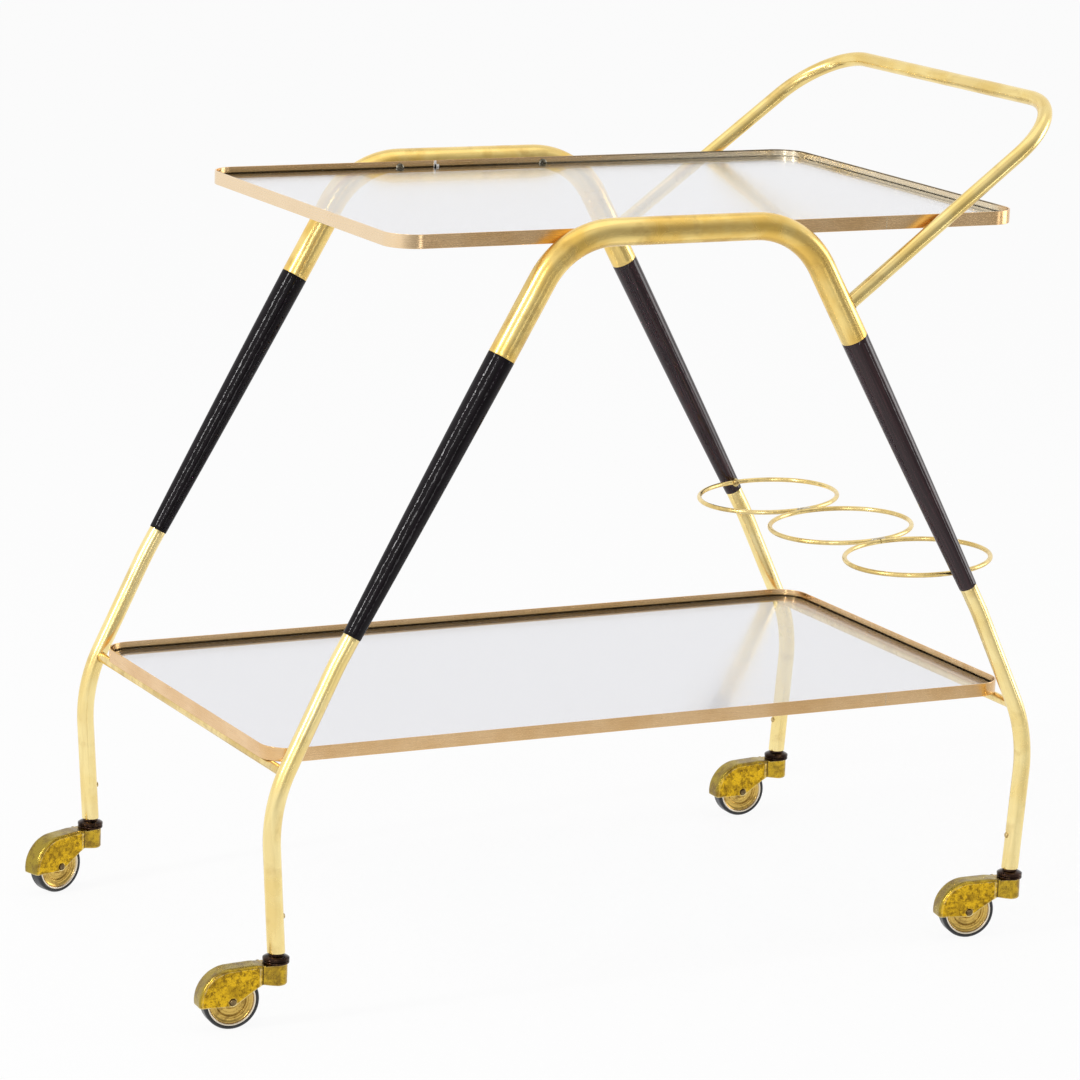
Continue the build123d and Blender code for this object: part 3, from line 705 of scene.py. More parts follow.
def block(size, middle, eased_by=0.0):
    """A bmesh box of this size round this point."""
    made = bmesh.new()
    bmesh.ops.create_cube(made, size=1.0)
    bmesh.ops.scale(made, vec=size, verts=made.verts)
    if eased_by:
        bmesh.ops.bevel(made, geom=made.edges, offset=eased_by, segments=2, affect="EDGES")
    bmesh.ops.translate(made, vec=middle, verts=made.verts)
    return made


def take_away(piece, tool):
    """Cuts a closed tool out of a piece and throws the tool away."""
    cut = piece.modifiers.new("cut", "BOOLEAN")
    cut.operation = "DIFFERENCE"
    cut.solver = "EXACT"
    cut.object = tool
    settle(piece)
    bpy.data.objects.remove(tool)
    return piece


def smooth(piece, sharp_above=40):
    """Smooth shading, but for edges sharper than this many degrees."""
    piece.data.shade_smooth()
    piece.data.set_sharp_from_angle(angle=radians(sharp_above))
    return piece


def keep_flats_flat(piece):
    """Weighs normals by face size, so that wide faces stay flat beside their round edges."""
    weigh = piece.modifiers.new("flats", "WEIGHTED_NORMAL")
    weigh.weight = 100
    weigh.keep_sharp = True
    return settle(piece)


def soften_edges(piece, width, sharp_above=50, steps=2):
    """Rounds a piece's sharp edges, so that they catch light."""
    bevel = piece.modifiers.new("soft_edges", "BEVEL")
    bevel.width = width
    bevel.segments = steps
    bevel.limit_method = "ANGLE"
    bevel.angle_limit = radians(sharp_above)
    return settle(piece)


def face_outwards(piece):
    """Turns every face of a closed skin outwards, after merging what meets."""
    skin = bmesh.new()
    skin.from_mesh(piece.data)
    bmesh.ops.remove_doubles(skin, verts=skin.verts, dist=0.001 * mm)
    bmesh.ops.recalc_face_normals(skin, faces=skin.faces)
    skin.to_mesh(piece.data)
    skin.free()
    return piece


def place_on(piece, body, slot, *nodes):
    """Hands a finished piece to the frame: what it moves with and what it replaces. slot, its finish, is
    not used.
    """
    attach(piece, body)
    if nodes:
        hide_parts(*nodes)
    return piece


print("tree helpers ready")

# %% [markdown]
# ## Bent tubes
# The arches, lower legs and handle are tube bent on a former: straight runs and true arcs.
# The tree draws exactly that. It takes a bare line of corners, each with its bend radius,
# rounds the corners, and sweeps a circle along. The wall comes afterwards from Solidify,
# and a fine bevel rounds the cut ends.

# %% The bent bar tree
bent_bar, sizes = start_tree(
    "bent_bar",
    {"Bar Size": "Float", "Sides": "Int", "Spacing": "Float", "Start": "Float", "Finish": "Material"},
)
line = out(bent_bar, "GeometryNodeMeshToCurve", {"Mesh": sizes["Shape"]})
corners = {"Curve": line, "Count": 24, "Radius": kept(bent_bar, "bend"), "Limit Radius": True}
rounded_line = out(bent_bar, "GeometryNodeFilletCurve", corners, mode="POLY")
evenly = {"Curve": rounded_line, "Length": sizes["Spacing"]}
even_line = out(bent_bar, "GeometryNodeResampleCurve", evenly, mode="LENGTH")
length_so_far = add(bent_bar, "GeometryNodeSplineParameter").outputs["Length"]
marked = keep(bent_bar, even_line, "along", math(bent_bar, "ADD", length_so_far, sizes["Start"]))
half_size = product(bent_bar, sizes["Bar Size"], 0.5)
circle = {"Resolution": sizes["Sides"], "Radius": half_size}
section = out(bent_bar, "GeometryNodeCurvePrimitiveCircle", circle, mode="RADIUS")
section_place = out(bent_bar, "GeometryNodeInputPosition")
section = keep(bent_bar, section, "skin", section_place, "FLOAT_VECTOR")
sweep = {"Curve": marked, "Profile Curve": section, "Fill Caps": False}
swept = out(bent_bar, "GeometryNodeCurveToMesh", sweep)
end_tree(bent_bar, swept, sizes["Finish"])
print("bent bar tree has", len(bent_bar.nodes), "nodes")

# %% Draw and sweep a bar
def draw_line(name, points, bends, closed=False):
    """A mesh of bare edges through points, which carries a bend radius at each."""
    mesh = bpy.data.meshes.new(name)
    edges = [(n, n + 1) for n in range(len(points) - 1)]
    if closed:
        edges.append((len(points) - 1, 0))
    mesh.from_pydata([tuple(point) for point in points], edges, [])
    mesh.attributes.new("bend", "FLOAT", "POINT").data.foreach_set("value", bends)
    return new_piece(name, mesh)


def sweep_bar(name, points, bends, size, finish, start=0.0, sides=40, spacing=3 * mm, closed=False):
    """A bar of round section through these points, bare at its ends."""
    piece = draw_line(name, points, bends, closed)
    chosen = {"Bar Size": size, "Sides": sides, "Spacing": spacing, "Start": start}
    return grow(piece, bent_bar, {**chosen, "Finish": finish})


def give_wall(piece, wall):
    """Makes a swept skin into tube of this wall, grown inwards, with eased ends."""
    thick = piece.modifiers.new("wall", "SOLIDIFY")
    thick.thickness = wall
    thick.offset = -1
    settle(piece)
    return smooth(soften_edges(piece, 0.2 * mm))


print("sweeping ready")

# %% The two arches
arch_bend = 70 * mm
for name, side in SIDES.items():
    points = [
        in_cart(upper_joint, -1, side),
        in_cart(arch_corner, -1, side),
        in_cart(arch_corner, 1, side),
        in_cart(upper_joint, 1, side),
    ]
    bends = [0, arch_bend, arch_bend, 0]
    arch = sweep_bar(f"arch_tube_{name}", points, bends, arch_tube, arch_brass, 3.0 + side)
    place_on(give_wall(arch, thick_wall), "frame", "brass_tube", f"arch_{name}")
    print(arch.name, "faces", len(arch.data.polygons))

# %% [markdown]
# ## Lower legs
# Each lower leg is thinner tube with two soft bends, and its foot is sawn level where it
# stands on the caster. We sweep a little past the foot and bisect the skin at that height,
# before it gets its wall, so the sawn end has a proper rim.

# %% The four lower legs
def saw_level(piece, height):
    """Cuts away what hangs below this height."""
    cut = bmesh.new()
    cut.from_mesh(piece.data)
    every = cut.verts[:] + cut.edges[:] + cut.faces[:]
    level_plane = {"plane_co": (0, 0, height), "plane_no": (0, 0, -1)}
    bmesh.ops.bisect_plane(cut, geom=every, clear_outer=True, **level_plane)
    cut.to_mesh(piece.data)
    cut.free()
    return piece


past_foot = step_down(foot, foot_lean, 5 * mm)
corners = (lower_joint, kink, foot_corner, past_foot)
bends = [0, 200 * mm, 125 * mm, 0]
for number, (end, side) in enumerate(LEGS):
    points = [in_cart(corner, ENDS[end], SIDES[side]) for corner in corners]
    name = f"lower_leg_tube_{end}_{side}"
    leg = sweep_bar(name, points, bends, lower_tube, leg_brass, 7.0 + number)
    give_wall(saw_level(leg, caster_top), thin_wall)
    place_on(leg, "frame", "brass_tube", f"lower_leg_{end}_{side}")
print("lower leg faces", len(leg.data.polygons))

# %% [markdown]
# ## Turned pieces
# A lathe makes a shape from one outline. This helper turns (radius, height) points about an
# axis and closes the poles. It also writes the same attributes as the swept bars, plus the
# radius, so any finish can follow the piece. Corners are eased first: nothing real is sharp.

# %% The lathe
def eased(outline, reach, steps=3, closed=False):
    """The outline with each corner rounded, starting this far before it."""
    made = []
    count = len(outline)
    for n, corner in enumerate(outline):
        if not closed and n in (0, count - 1):
            made.append(corner)
            continue
        corner = Vector(corner)
        before = Vector(outline[n - 1]) - corner
        after = Vector(outline[(n + 1) % count]) - corner
        start = corner + before.normalized() * min(reach, before.length / 2)
        stop = corner + after.normalized() * min(reach, after.length / 2)
        for step in range(steps + 1):
            share = step / steps
            middle = corner * 2 * share * (1 - share)
            made.append(tuple(start * (1 - share) ** 2 + middle + stop * share**2))
    return made


def turn_on_lathe(name, outline, place, finish, sides=64, closed=False, start=0.0):
    """Turns (radius, height) points about place's z axis. Unless closed, they end on the axis."""
    solid = bmesh.new()
    skin = solid.verts.layers.float_vector.new("skin")
    along = solid.verts.layers.float.new("along")
    far_out = solid.verts.layers.float.new("radius")
    rings = []
    for radius, height in outline:
        count = 1 if radius < 0.001 * mm else sides
        ring = []
        for n in range(count):
            angle = 2 * pi * n / sides
            across = Vector((radius * cos(angle), radius * sin(angle), 0))
            vertex = solid.verts.new(place @ (across + Vector((0, 0, height))))
            vertex[skin], vertex[along], vertex[far_out] = across, height + start, radius
            ring.append(vertex)
        rings.append(ring)
    pairs = list(zip(rings, rings[1:]))
    if closed:
        pairs.append((rings[-1], rings[0]))
    for low, high in pairs:
        for n in range(sides):
            m = (n + 1) % sides
            face = [low[n % len(low)], low[m % len(low)], high[m % len(high)], high[n % len(high)]]
            solid.faces.new(list(dict.fromkeys(face)))
    bmesh.ops.recalc_face_normals(solid, faces=solid.faces)
    return smooth(piece_from(name, solid, finish))


def axis_place(origin, down_axis, across=(0, 1, 0)):
    """A place at origin whose z axis runs along down_axis."""
    z = Vector(down_axis).normalized()
    y = z.cross(Vector(across)).normalized()
    x = y.cross(z)
    return Matrix.Translation(origin) @ Matrix((x, y, z)).transposed().to_4x4()


def down_leg(lean, end):
    return Vector((end * sin(lean), 0, -cos(lean)))


print("lathe ready")

# %% [markdown]
# ## Wooden legs
# Each wooden leg is a long taper with a slight belly, and a thinner tenon at each end that
# plugs into the tubes. A straight cone would look stiff, so the radius follows a parabola.

# %% Turn the four wooden legs
def wood_outline():
    """A leg's (radius, height) points from its top tenon to its lower one."""
    thick = arch_tube / 2
    thin = lower_tube / 2 + 0.4 * mm
    belly = 0.4 * mm
    stations = 64
    body = []
    for n in range(stations + 1):
        share = n / stations
        radius = thick + (thin - thick) * share + belly * 4 * share * (1 - share)
        body.append((radius, wood_length * share))
    top_pin = thick - thick_wall - glue_gap
    low_pin = lower_tube / 2 - thin_wall - glue_gap
    pin_top, pin_foot = -28 * mm, wood_length + 20 * mm
    top = [(0, pin_top), (top_pin, pin_top), (top_pin, 0)]
    low = [(low_pin, wood_length), (low_pin, pin_foot), (0, pin_foot)]
    return top + body + low


wood_finish = {"left": black_wood, "right": brown_wood}
for number, (end, side) in enumerate(LEGS):
    place = axis_place(in_cart(upper_joint, ENDS[end], SIDES[side]), down_leg(leg_lean, ENDS[end]))
    outline = eased(wood_outline(), 0.25 * mm, 2)
    name = f"turned_leg_{end}_{side}"
    leg = turn_on_lathe(name, outline, place, wood_finish[end], start=0.6 * number)
    place_on(leg, "frame", "dark_wood", f"wood_leg_{end}_{side}")
print("wooden leg faces", len(leg.data.polygons))

# %% [markdown]
# ## The push handle
# The handle is one bent tube. Its feet were filed to sit on the arches and then brazed, so
# we subtract a cylinder the size of the arch from each foot, and lay a thin bead of braze
# along the curve where two cylinders meet. That curve is easy to work out point by point.

# %% The handle
handle_low = step_down(arch_corner, leg_lean, 80.3 * mm)
handle_rise = radians(36.8)
handle_reach = 259 * mm
handle_high = (
    handle_low[0] + handle_reach * cos(handle_rise),
    handle_low[1] + handle_reach * sin(handle_rise),
)
grip_half = frame_half - 3.5 * mm
handle_bend = 62.6 * mm


def at_grip(side):
    return Vector((middle_x + handle_high[0], side * grip_half, handle_high[1]))


points = [in_cart(handle_low, 1, -1), at_grip(-1), at_grip(1), in_cart(handle_low, 1, 1)]
bends = [0, handle_bend, handle_bend, 0]
handle = sweep_bar("handle_tube", points, bends, handle_tube, grip_brass, 12.0)
give_wall(handle, thick_wall)


def file_foot(piece, origin, axis, size):
    """Takes a cylinder of this size out of a piece."""
    reach = 40 * mm
    outline = [(0, -reach), (size / 2, -reach), (size / 2, reach), (0, reach)]
    take_away(piece, turn_on_lathe("file", outline, axis_place(origin, axis), leg_brass, 96))


for side in SIDES.values():
    file_foot(handle, in_cart(handle_low, 1, side), down_leg(leg_lean, 1), arch_tube)
place_on(smooth(handle), "frame", "brass_tube", "handle")
print("handle faces", len(handle.data.polygons))

# %% Braze beads
def meeting_curve(main_place, main_axis, main_size, branch_place, branch_axis, branch_size, count=48):
    """Points where a round branch leaves a round bar, each given by a place on its axis."""
    main, branch = Vector(main_axis).normalized(), Vector(branch_axis).normalized()
    side_on = branch.cross(main).normalized()
    lift = side_on.cross(branch)
    points = []
    for n in range(count):
        angle = 2 * pi * n / count
        start = branch_place + (side_on * cos(angle) + lift * sin(angle)) * branch_size / 2
        offset = start - main_place
        flat_offset = offset - main * offset.dot(main)
        flat_branch = branch - main * branch.dot(main)
        square = flat_branch.length_squared
        across = flat_offset.dot(flat_branch)
        short_by = flat_offset.length_squared - (main_size / 2) ** 2
        reach = (sqrt(across**2 - square * short_by) - across) / square
        points.append(start + branch * reach)
    return points


def braze(name, main, branch, bead):
    """A bead round a branch. main and branch are each (place, axis, size)."""
    points = meeting_curve(*main, *branch)
    bends = [0] * len(points)
    ring = sweep_bar(name, points, bends, bead, braze_brass, sides=10, spacing=0.8 * mm, closed=True)
    return place_on(smooth(ring, 80), "frame", "brass_tube")


for name, side in SIDES.items():
    foot_place = in_cart(handle_low, 1, side)
    main = (foot_place, down_leg(leg_lean, 1), arch_tube)
    branch = (foot_place, at_grip(side) - foot_place, handle_tube)
    braze(f"handle_braze_{name}", main, branch, 1.3 * mm)
crossbar_size = 8 * mm
leg_off_bar = 1.5 * mm
for end, side in LEGS:
    low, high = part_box(f"crossbar_{end}")
    bar_place = Vector(((low.x + high.x) / 2, SIDES[side] * frame_half, (low.z + high.z) / 2))
    leg_middle = bar_place + Vector((ENDS[end] * leg_off_bar, 0, 0))
    main = (leg_middle, down_leg(slant_lean, ENDS[end]), lower_tube)
    branch = (bar_place, (0, -SIDES[side], 0), crossbar_size)
    braze(f"crossbar_braze_{end}_{side}", main, branch, 1.1 * mm)
print("a bead at each foot of the handle and each end of the crossbars")

# %% [markdown]
# ## Trays
# A tray's rim is strip bent round a rounded rectangle, with a ledge inside for the glass.
# It follows a rule, so a second tree makes both rims: it draws the rectangle, rounds its
# corners, and sweeps the rim's section, drawn flat as a line of points. The strip's edges
# get a small bend radius in that drawing, so they shine like worn metal.

# %% The tray band tree
tray_band, sizes = start_tree(
    "tray_band",
    {"Long": "Float", "Wide": "Float", "Corner": "Float", "Middle": "Vector", "Finish": "Material"},
)
drawn = out(tray_band, "GeometryNodeMeshToCurve", {"Mesh": sizes["Shape"]})
corners = {"Curve": drawn, "Count": 4, "Radius": kept(tray_band, "bend"), "Limit Radius": True}
strip = out(tray_band, "GeometryNodeFilletCurve", corners, mode="POLY")
strip = keep(tray_band, strip, "skin", out(tray_band, "GeometryNodeInputPosition"), "FLOAT_VECTOR")
sides = {"Width": sizes["Long"], "Height": sizes["Wide"]}
oblong = out(tray_band, "GeometryNodeCurvePrimitiveQuadrilateral", sides, mode="RECTANGLE")
corners = {"Curve": oblong, "Count": 20, "Radius": sizes["Corner"], "Limit Radius": True}
oblong = out(tray_band, "GeometryNodeFilletCurve", corners, mode="POLY")
oblong = out(tray_band, "GeometryNodeSetCurveNormal", {"Curve": oblong}, mode="Z_UP")
length_so_far = add(tray_band, "GeometryNodeSplineParameter").outputs["Length"]
oblong = keep(tray_band, oblong, "along", length_so_far)
sweep = {"Curve": oblong, "Profile Curve": strip, "Fill Caps": False}
band = out(tray_band, "GeometryNodeCurveToMesh", sweep)
moved = {"Geometry": band, "Translation": sizes["Middle"]}
band = out(tray_band, "GeometryNodeTransform", moved)
end_tree(tray_band, band, sizes["Finish"])
print("tray band tree has", len(tray_band.nodes), "nodes")

# %% Rims
rim_box = {level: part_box(f"{level}_tray_rim") for level in ("upper", "lower")}
pane_box = {level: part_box(f"{level}_tray_glass") for level in ("upper", "lower")}
band_height = rim_box["upper"][1].z - rim_box["upper"][0].z
ledge_wall = pane_box["upper"][0].z - rim_box["upper"][0].z
band_wall = 1.2 * mm
ledge_width = 8.0 * mm
tray_corner = 24.0 * mm


def band_section():
    """The rim's section as (outwards, up) points, and how round each corner is."""
    shelf = -band_wall - ledge_width
    points = [(0, 0), (0, band_height), (-band_wall, band_height), (-band_wall, ledge_wall)]
    points += [(shelf, ledge_wall), (shelf, 0)]
    bends = [0.4 * mm, 0.22 * mm, 0.22 * mm, 0.3 * mm, 0.4 * mm, 0.4 * mm]
    return points, bends


for level, (low, high) in rim_box.items():
    points, bends = band_section()
    drawing = [(outward, -rise, 0) for outward, rise in points]
    rim = draw_line(f"{level}_rim_band", drawing, bends, closed=True)
    chosen = {"Long": high.x - low.x, "Wide": high.y - low.y, "Corner": tray_corner}
    chosen |= {"Middle": ((low.x + high.x) / 2, 0, low.z), "Finish": satin_brass}
    face_outwards(grow(rim, tray_band, chosen))
    place_on(keep_flats_flat(smooth(rim, 30)), "frame", "brass_band", f"{level}_tray_rim")
    print(rim.name, "faces", len(rim.data.polygons))

# %% [markdown]
# ## Where the strip's ends meet
# A rolled band is closed by a soldered butt joint. In the photograph it is a hairline across
# the near side of each rim, and a bright smear of solder inside the upper rim's far side.
# We lay a sliver of solder on each place, a hair proud of the band. The smear is wider at
# its foot, where the solder ran down on to the glass. Its near-white colour is a painted highlight.

# %% Band seams
def seam(name, x, y, low_z, high_z, width, thick, finish):
    """An upright sliver on one of the band's faces."""
    sliver = block((width, thick, high_z - low_z), (x, y, (low_z + high_z) / 2), 0.05 * mm)
    return place_on(smooth(piece_from(name, sliver, finish)), "frame", "solder")


hairline = (0.5 * mm, 0.16 * mm, solder_metal)
sunk, clear_of_edge = 0.05 * mm, 0.6 * mm
near_seam_x = {"upper": 206 * mm, "lower": 233 * mm}
for level, x in near_seam_x.items():
    low, high = rim_box[level]
    ends = low.z + clear_of_edge, high.z - clear_of_edge
    seam(f"{level}_seam_near", x, low.y + sunk, *ends, *hairline)

smear_thick = 0.9 * mm
smear_width, smear_foot_width, smear_foot_height = 2.2 * mm, 4.4 * mm, 2.2 * mm
far_wall = rim_box["upper"][1].y - band_wall
glass_top = pane_box["upper"][1].z
smear_top = rim_box["upper"][1].z - 0.3 * mm
smear_x, smear_foot_x = -15.0 * mm, -13.5 * mm
# The smear's solder is near white: a painted highlight, the glint it shows.
smear = (smear_thick, bright_solder)
seam("upper_seam_far", smear_x, far_wall, glass_top, smear_top, smear_width, *smear)
foot_top = glass_top + smear_foot_height
seam("upper_seam_far_foot", smear_foot_x, far_wall, glass_top, foot_top, smear_foot_width, *smear)
print("seams laid")

# %% [markdown]
# ## Glass
# Each pane is 4 mm float glass with round corners and ground edges. Real thickness matters:
# it is what gives the pale double line where the glass meets the band. The plate is drawn
# as one outline, pulled up, and its edges are bevelled.

# %% Two panes
def rounded_outline(low, high, corner, steps=20):
    """Points round a rectangle with round corners, anticlockwise."""
    points = []
    quarters = [(high.x, high.y, 0), (low.x, high.y, 1), (low.x, low.y, 2), (high.x, low.y, 3)]
    for x, y, quarter in quarters:
        centre_x = x - corner if x == high.x else x + corner
        centre_y = y - corner if y == high.y else y + corner
        for step in range(steps + 1):
            angle = pi / 2 * (quarter + step / steps)
            points.append((centre_x + corner * cos(angle), centre_y + corner * sin(angle)))
    return points


glass_corner = tray_corner - (rim_box["upper"][1].x - pane_box["upper"][1].x)
for level, (low, high) in pane_box.items():
    plate = bmesh.new()
    outline = rounded_outline(low, high, glass_corner)
    base = plate.faces.new([plate.verts.new((x, y, low.z)) for x, y in outline])
    pulled = bmesh.ops.extrude_face_region(plate, geom=[base])["geom"]
    lifted = [item for item in pulled if isinstance(item, bmesh.types.BMVert)]
    bmesh.ops.translate(plate, vec=(0, 0, high.z - low.z), verts=lifted)
    bmesh.ops.recalc_face_normals(plate, faces=plate.faces)
    pane = soften_edges(piece_from(f"{level}_pane", plate, clear_glass), 0.5 * mm, 60, 3)
    place_on(keep_flats_flat(smooth(pane, 60)), "frame", "clear_glass", f"{level}_tray_glass")
print("panes, faces each", len(pane.data.polygons))

# %% [markdown]
# ## Slotted screws
# Four screws hold the upper tray to the arches. They are all one screw, so we turn one, saw
# its slot, and let a tree copy it to four points. Each point carries the way the head faces
# and how far the screw happened to be turned when it came tight.

# %% One screw, four places
def make_slotted_screw(name, head, head_height, shank, grip, slot, finish):
    """A screw on the z axis, its head above 0. head and shank are diameters."""
    outline = [(0, -grip), (shank / 2, -grip), (shank / 2, 0), (head / 2, 0)]
    outline += [(head / 2, head_height * 0.55), (head * 0.36, head_height * 0.92)]
    outline += [(head * 0.18, head_height), (0, head_height)]
    screw = turn_on_lathe(name, eased(outline, 0.15 * mm, 2), Matrix.Identity(4), finish, 40)
    blade = piece_from("saw", block((2 * head, slot, head_height), (0, 0, head_height * 0.97)))
    return smooth(take_away(screw, blade), 35)


screw_set, sizes = start_tree("screw_set", {"Screw": "Object", "Finish": "Material"})
facing = {"Vector": kept(screw_set, "facing", "FLOAT_VECTOR")}
aim = out(screw_set, "FunctionNodeAlignRotationToVector", facing, axis="Z")
twist = {"Axis": (0, 0, 1), "Angle": kept(screw_set, "turned")}
twist = out(screw_set, "FunctionNodeAxisAngleToRotation", twist)
both = {"Rotation": aim, "Rotate By": twist}
aim = out(screw_set, "FunctionNodeRotateRotation", both, rotation_space="LOCAL")
one_screw = add(screw_set, "GeometryNodeObjectInfo", {"Object": sizes["Screw"]}).outputs["Geometry"]
spots = out(screw_set, "GeometryNodeMeshToPoints", {"Mesh": sizes["Shape"]})
copies = {"Points": spots, "Instance": one_screw, "Rotation": aim}
copies = out(screw_set, "GeometryNodeInstanceOnPoints", copies)
end_tree(screw_set, copies, sizes["Finish"])


def set_of_screws(name, screw, places, facings, turns, finish):
    """Copies of a screw at these places, in one piece. The screw itself goes."""
    mesh = bpy.data.meshes.new(name)
    mesh.from_pydata([tuple(place) for place in places], [], [])
    aims = [value for facing in facings for value in facing]
    mesh.attributes.new("facing", "FLOAT_VECTOR", "POINT").data.foreach_set("vector", aims)
    mesh.attributes.new("turned", "FLOAT", "POINT").data.foreach_set("value", turns)
    made = grow(new_piece(name, mesh), screw_set, {"Screw": screw, "Finish": finish})
    bpy.data.objects.remove(screw)
    return smooth(made, 35)


screw_spread = 67 * mm
screw_height = rim_box["upper"][1].z - 5.3 * mm
screw_sizes = (7.4 * mm, 1.5 * mm, 3.0 * mm, 7.0 * mm, 1.3 * mm)
band_inner = rim_box["upper"][1].y - band_wall
places, facings = [], []
for end in ENDS.values():
    for side in SIDES.values():
        places.append((middle_x + end * screw_spread, side * band_inner, screw_height))
        facings.append((0, -side, 0))
turns = [radians(angle) for angle in (12, 74, 35, 118)]
one = make_slotted_screw("one_screw", *screw_sizes, steel)
screws = set_of_screws("tray_screws", one, places, facings, turns, steel)
place_on(screws, "frame", "steel", "upper_tray_screws")
print("tray screws, faces", len(screws.data.polygons))

# %% [markdown]
# ## Cast hoods
# A casting has no sharp edge and no truly flat face. Modelling that by hand is slow, so we
# start from the CAD hood, copied into its own upright place, and let a voxel remesh give it
# an even skin. Smoothing rounds the edges, and slow noise presses it in a little, never out.
# Then we measure the bend of the surface at every point, for the material's wear and grime, and for the
# highlight and shade painted on the edges and at the boss's step.
# The hood's top rises towards the boss in a sharp crest, which filing has taken down.

# %% Where each caster stands
def caster_place(end, side):
    """A caster's own place: its stem on the z axis and its wheel towards -x."""
    spot = joint_of[f"swivel_{end}_{side}"]["pos_m"]
    axle = joint_of[f"wheel_spin_{end}_{side}"]["axis"]
    level_turn = Matrix(((axle[1], axle[0], 0), (-axle[0], axle[1], 0), (0, 0, 1))).to_4x4()
    return Matrix.Translation((spot[0], spot[1], 0)) @ level_turn


axle_at = joint_of["wheel_spin_left_near"]["pos_m"]
wheel_radius = axle_at[2]
trail = (Vector(axle_at[:2]) - Vector(left_foot[:2])).length
wheel_centre = Matrix.Translation((-trail, 0, wheel_radius)) @ Matrix.Rotation(-pi / 2, 4, "X")
print("caster turned", round(degrees(caster_place("left", "far").to_euler().z), 2), "degrees")

# %% Give a CAD solid an even skin
def cast_from(node, name, place, voxel, rounds):
    """A remeshed, smoothed copy of a CAD node, moved from place to the origin."""
    mesh = frame["nodes"][node].data.copy()
    mesh.name = name
    mesh.transform(place.inverted())
    merged = bmesh.new()
    merged.from_mesh(mesh)
    bmesh.ops.remove_doubles(merged, verts=merged.verts, dist=0.001 * mm)
    merged.to_mesh(mesh)
    merged.free()
    piece = new_piece(name, mesh)
    remesh = piece.modifiers.new("even_skin", "REMESH")
    remesh.mode = "VOXEL"
    remesh.voxel_size = voxel
    ease_off = piece.modifiers.new("ease_off", "SMOOTH")
    ease_off.factor = 0.5
    ease_off.iterations = rounds
    settle(piece)
    piece.data.shade_smooth()
    return piece


def read_vectors(items, name):
    values = np.empty(len(items) * 3)
    items.foreach_get(name, values)
    return values.reshape(-1, 3)


def dent(piece, depth, size):
    """Presses a skin in by slow noise, at most this deep."""
    places = read_vectors(piece.data.vertices, "co")
    normals = read_vectors(piece.data.vertices, "normal")
    press = np.array([0.5 + 0.5 * noise.fractal(place, 1.0, 2.0, 3) for place in places / size])
    pressed = places - normals * (depth * np.clip(press, 0, 1))[:, None]
    piece.data.vertices.foreach_set("co", pressed.ravel())
    piece.data.update()


def averaged(values, ends, rounds):
    """Values smoothed along the mesh's edges."""
    count = np.bincount(ends.ravel(), minlength=len(values))
    for _ in range(rounds):
        total = np.bincount(ends[:, 0], values[ends[:, 1]], len(values))
        total += np.bincount(ends[:, 1], values[ends[:, 0]], len(values))
        values = (values + total / count) / 2
    return values


def bend_of(mesh, voxel, rounds):
    """How much the skin bulges, above 0, or hollows, below 0, at each point, in voxels."""
    places = read_vectors(mesh.vertices, "co")
    normals = read_vectors(mesh.vertices, "normal")
    ends = np.empty(len(mesh.edges) * 2, int)
    mesh.edges.foreach_get("vertices", ends)
    ends = ends.reshape(-1, 2)
    pull = np.zeros_like(places)
    difference = places[ends[:, 1]] - places[ends[:, 0]]
    for axis in range(3):
        pull[:, axis] += np.bincount(ends[:, 0], difference[:, axis], len(places))
        pull[:, axis] -= np.bincount(ends[:, 1], difference[:, axis], len(places))
    bulge = -(pull * normals).sum(1) / voxel
    return averaged(bulge, ends, rounds)


def paint(mesh, name, values):
    """Stores values from 0 to 1 at the points, for a material to read."""
    mesh.attributes.new(name, "FLOAT", "POINT").data.foreach_set("value", np.clip(values, 0, 1))


print("casting helpers ready")

# %% The hood's shape, its wear, and its painted highlight and shade
hood_voxel = 0.45 * mm
boss_reach = 13.2 * mm
hood_half_width = 9.4 * mm
boss_top = 48.7 * mm
hood = cast_from("caster_hood_left_near", "cast_hood", caster_place("left", "near"), hood_voxel, 3)
places = read_vectors(hood.data.vertices, "co")
behind = np.clip((-boss_reach - places[:, 0]) / (7 * mm), 0, 1)
above = np.maximum(places[:, 2] - boss_top, 0)
places[:, 2] -= 0.6 * (1 - behind) * above
hood.data.vertices.foreach_set("co", places.ravel())
hood.data.update()
dent(hood, 0.16 * mm, 5 * mm)
bulge = bend_of(hood.data, hood_voxel, 5)
print("bulge", [round(float(value), 2) for value in np.percentile(bulge, (1, 10, 50, 90, 99))])

places = read_vectors(hood.data.vertices, "co")
normals = read_vectors(hood.data.vertices, "normal")
sideways = np.abs(normals[:, 1])
behind_boss = places[:, 0] < -boss_reach
outermost = np.abs(places[:, 1]) > hood_half_width - 0.35 * mm
# Painted highlight: the outermost side faces behind the boss get more pale edge paint, a bright line
# along the panel's rim.
raised = behind_boss & outermost & (sideways > 0.8)
# Painted shade: along the step where the boss meets the side plate, the edge paint is taken off and a
# dark line goes into the hollow attribute.
at_step = np.abs(places[:, 0] + boss_reach) < 0.7 * mm
step_shadow_line = at_step & (places[:, 2] < boss_top + 0.5 * mm)
paint(hood.data, "worn", np.where(step_shadow_line, 0, (bulge - 0.10) / 0.35 + 0.25 * raised))
paint(hood.data, "hollow", np.where(step_shadow_line, 0.9, (-bulge - 0.08) / 0.30))
paint(hood.data, "crown", np.where(behind_boss, (0.9 - sideways) / 0.3, 0.5))
hood.data.materials.clear()
hood.data.materials.append(cast_brass)
print("hood faces", len(hood.data.polygons))

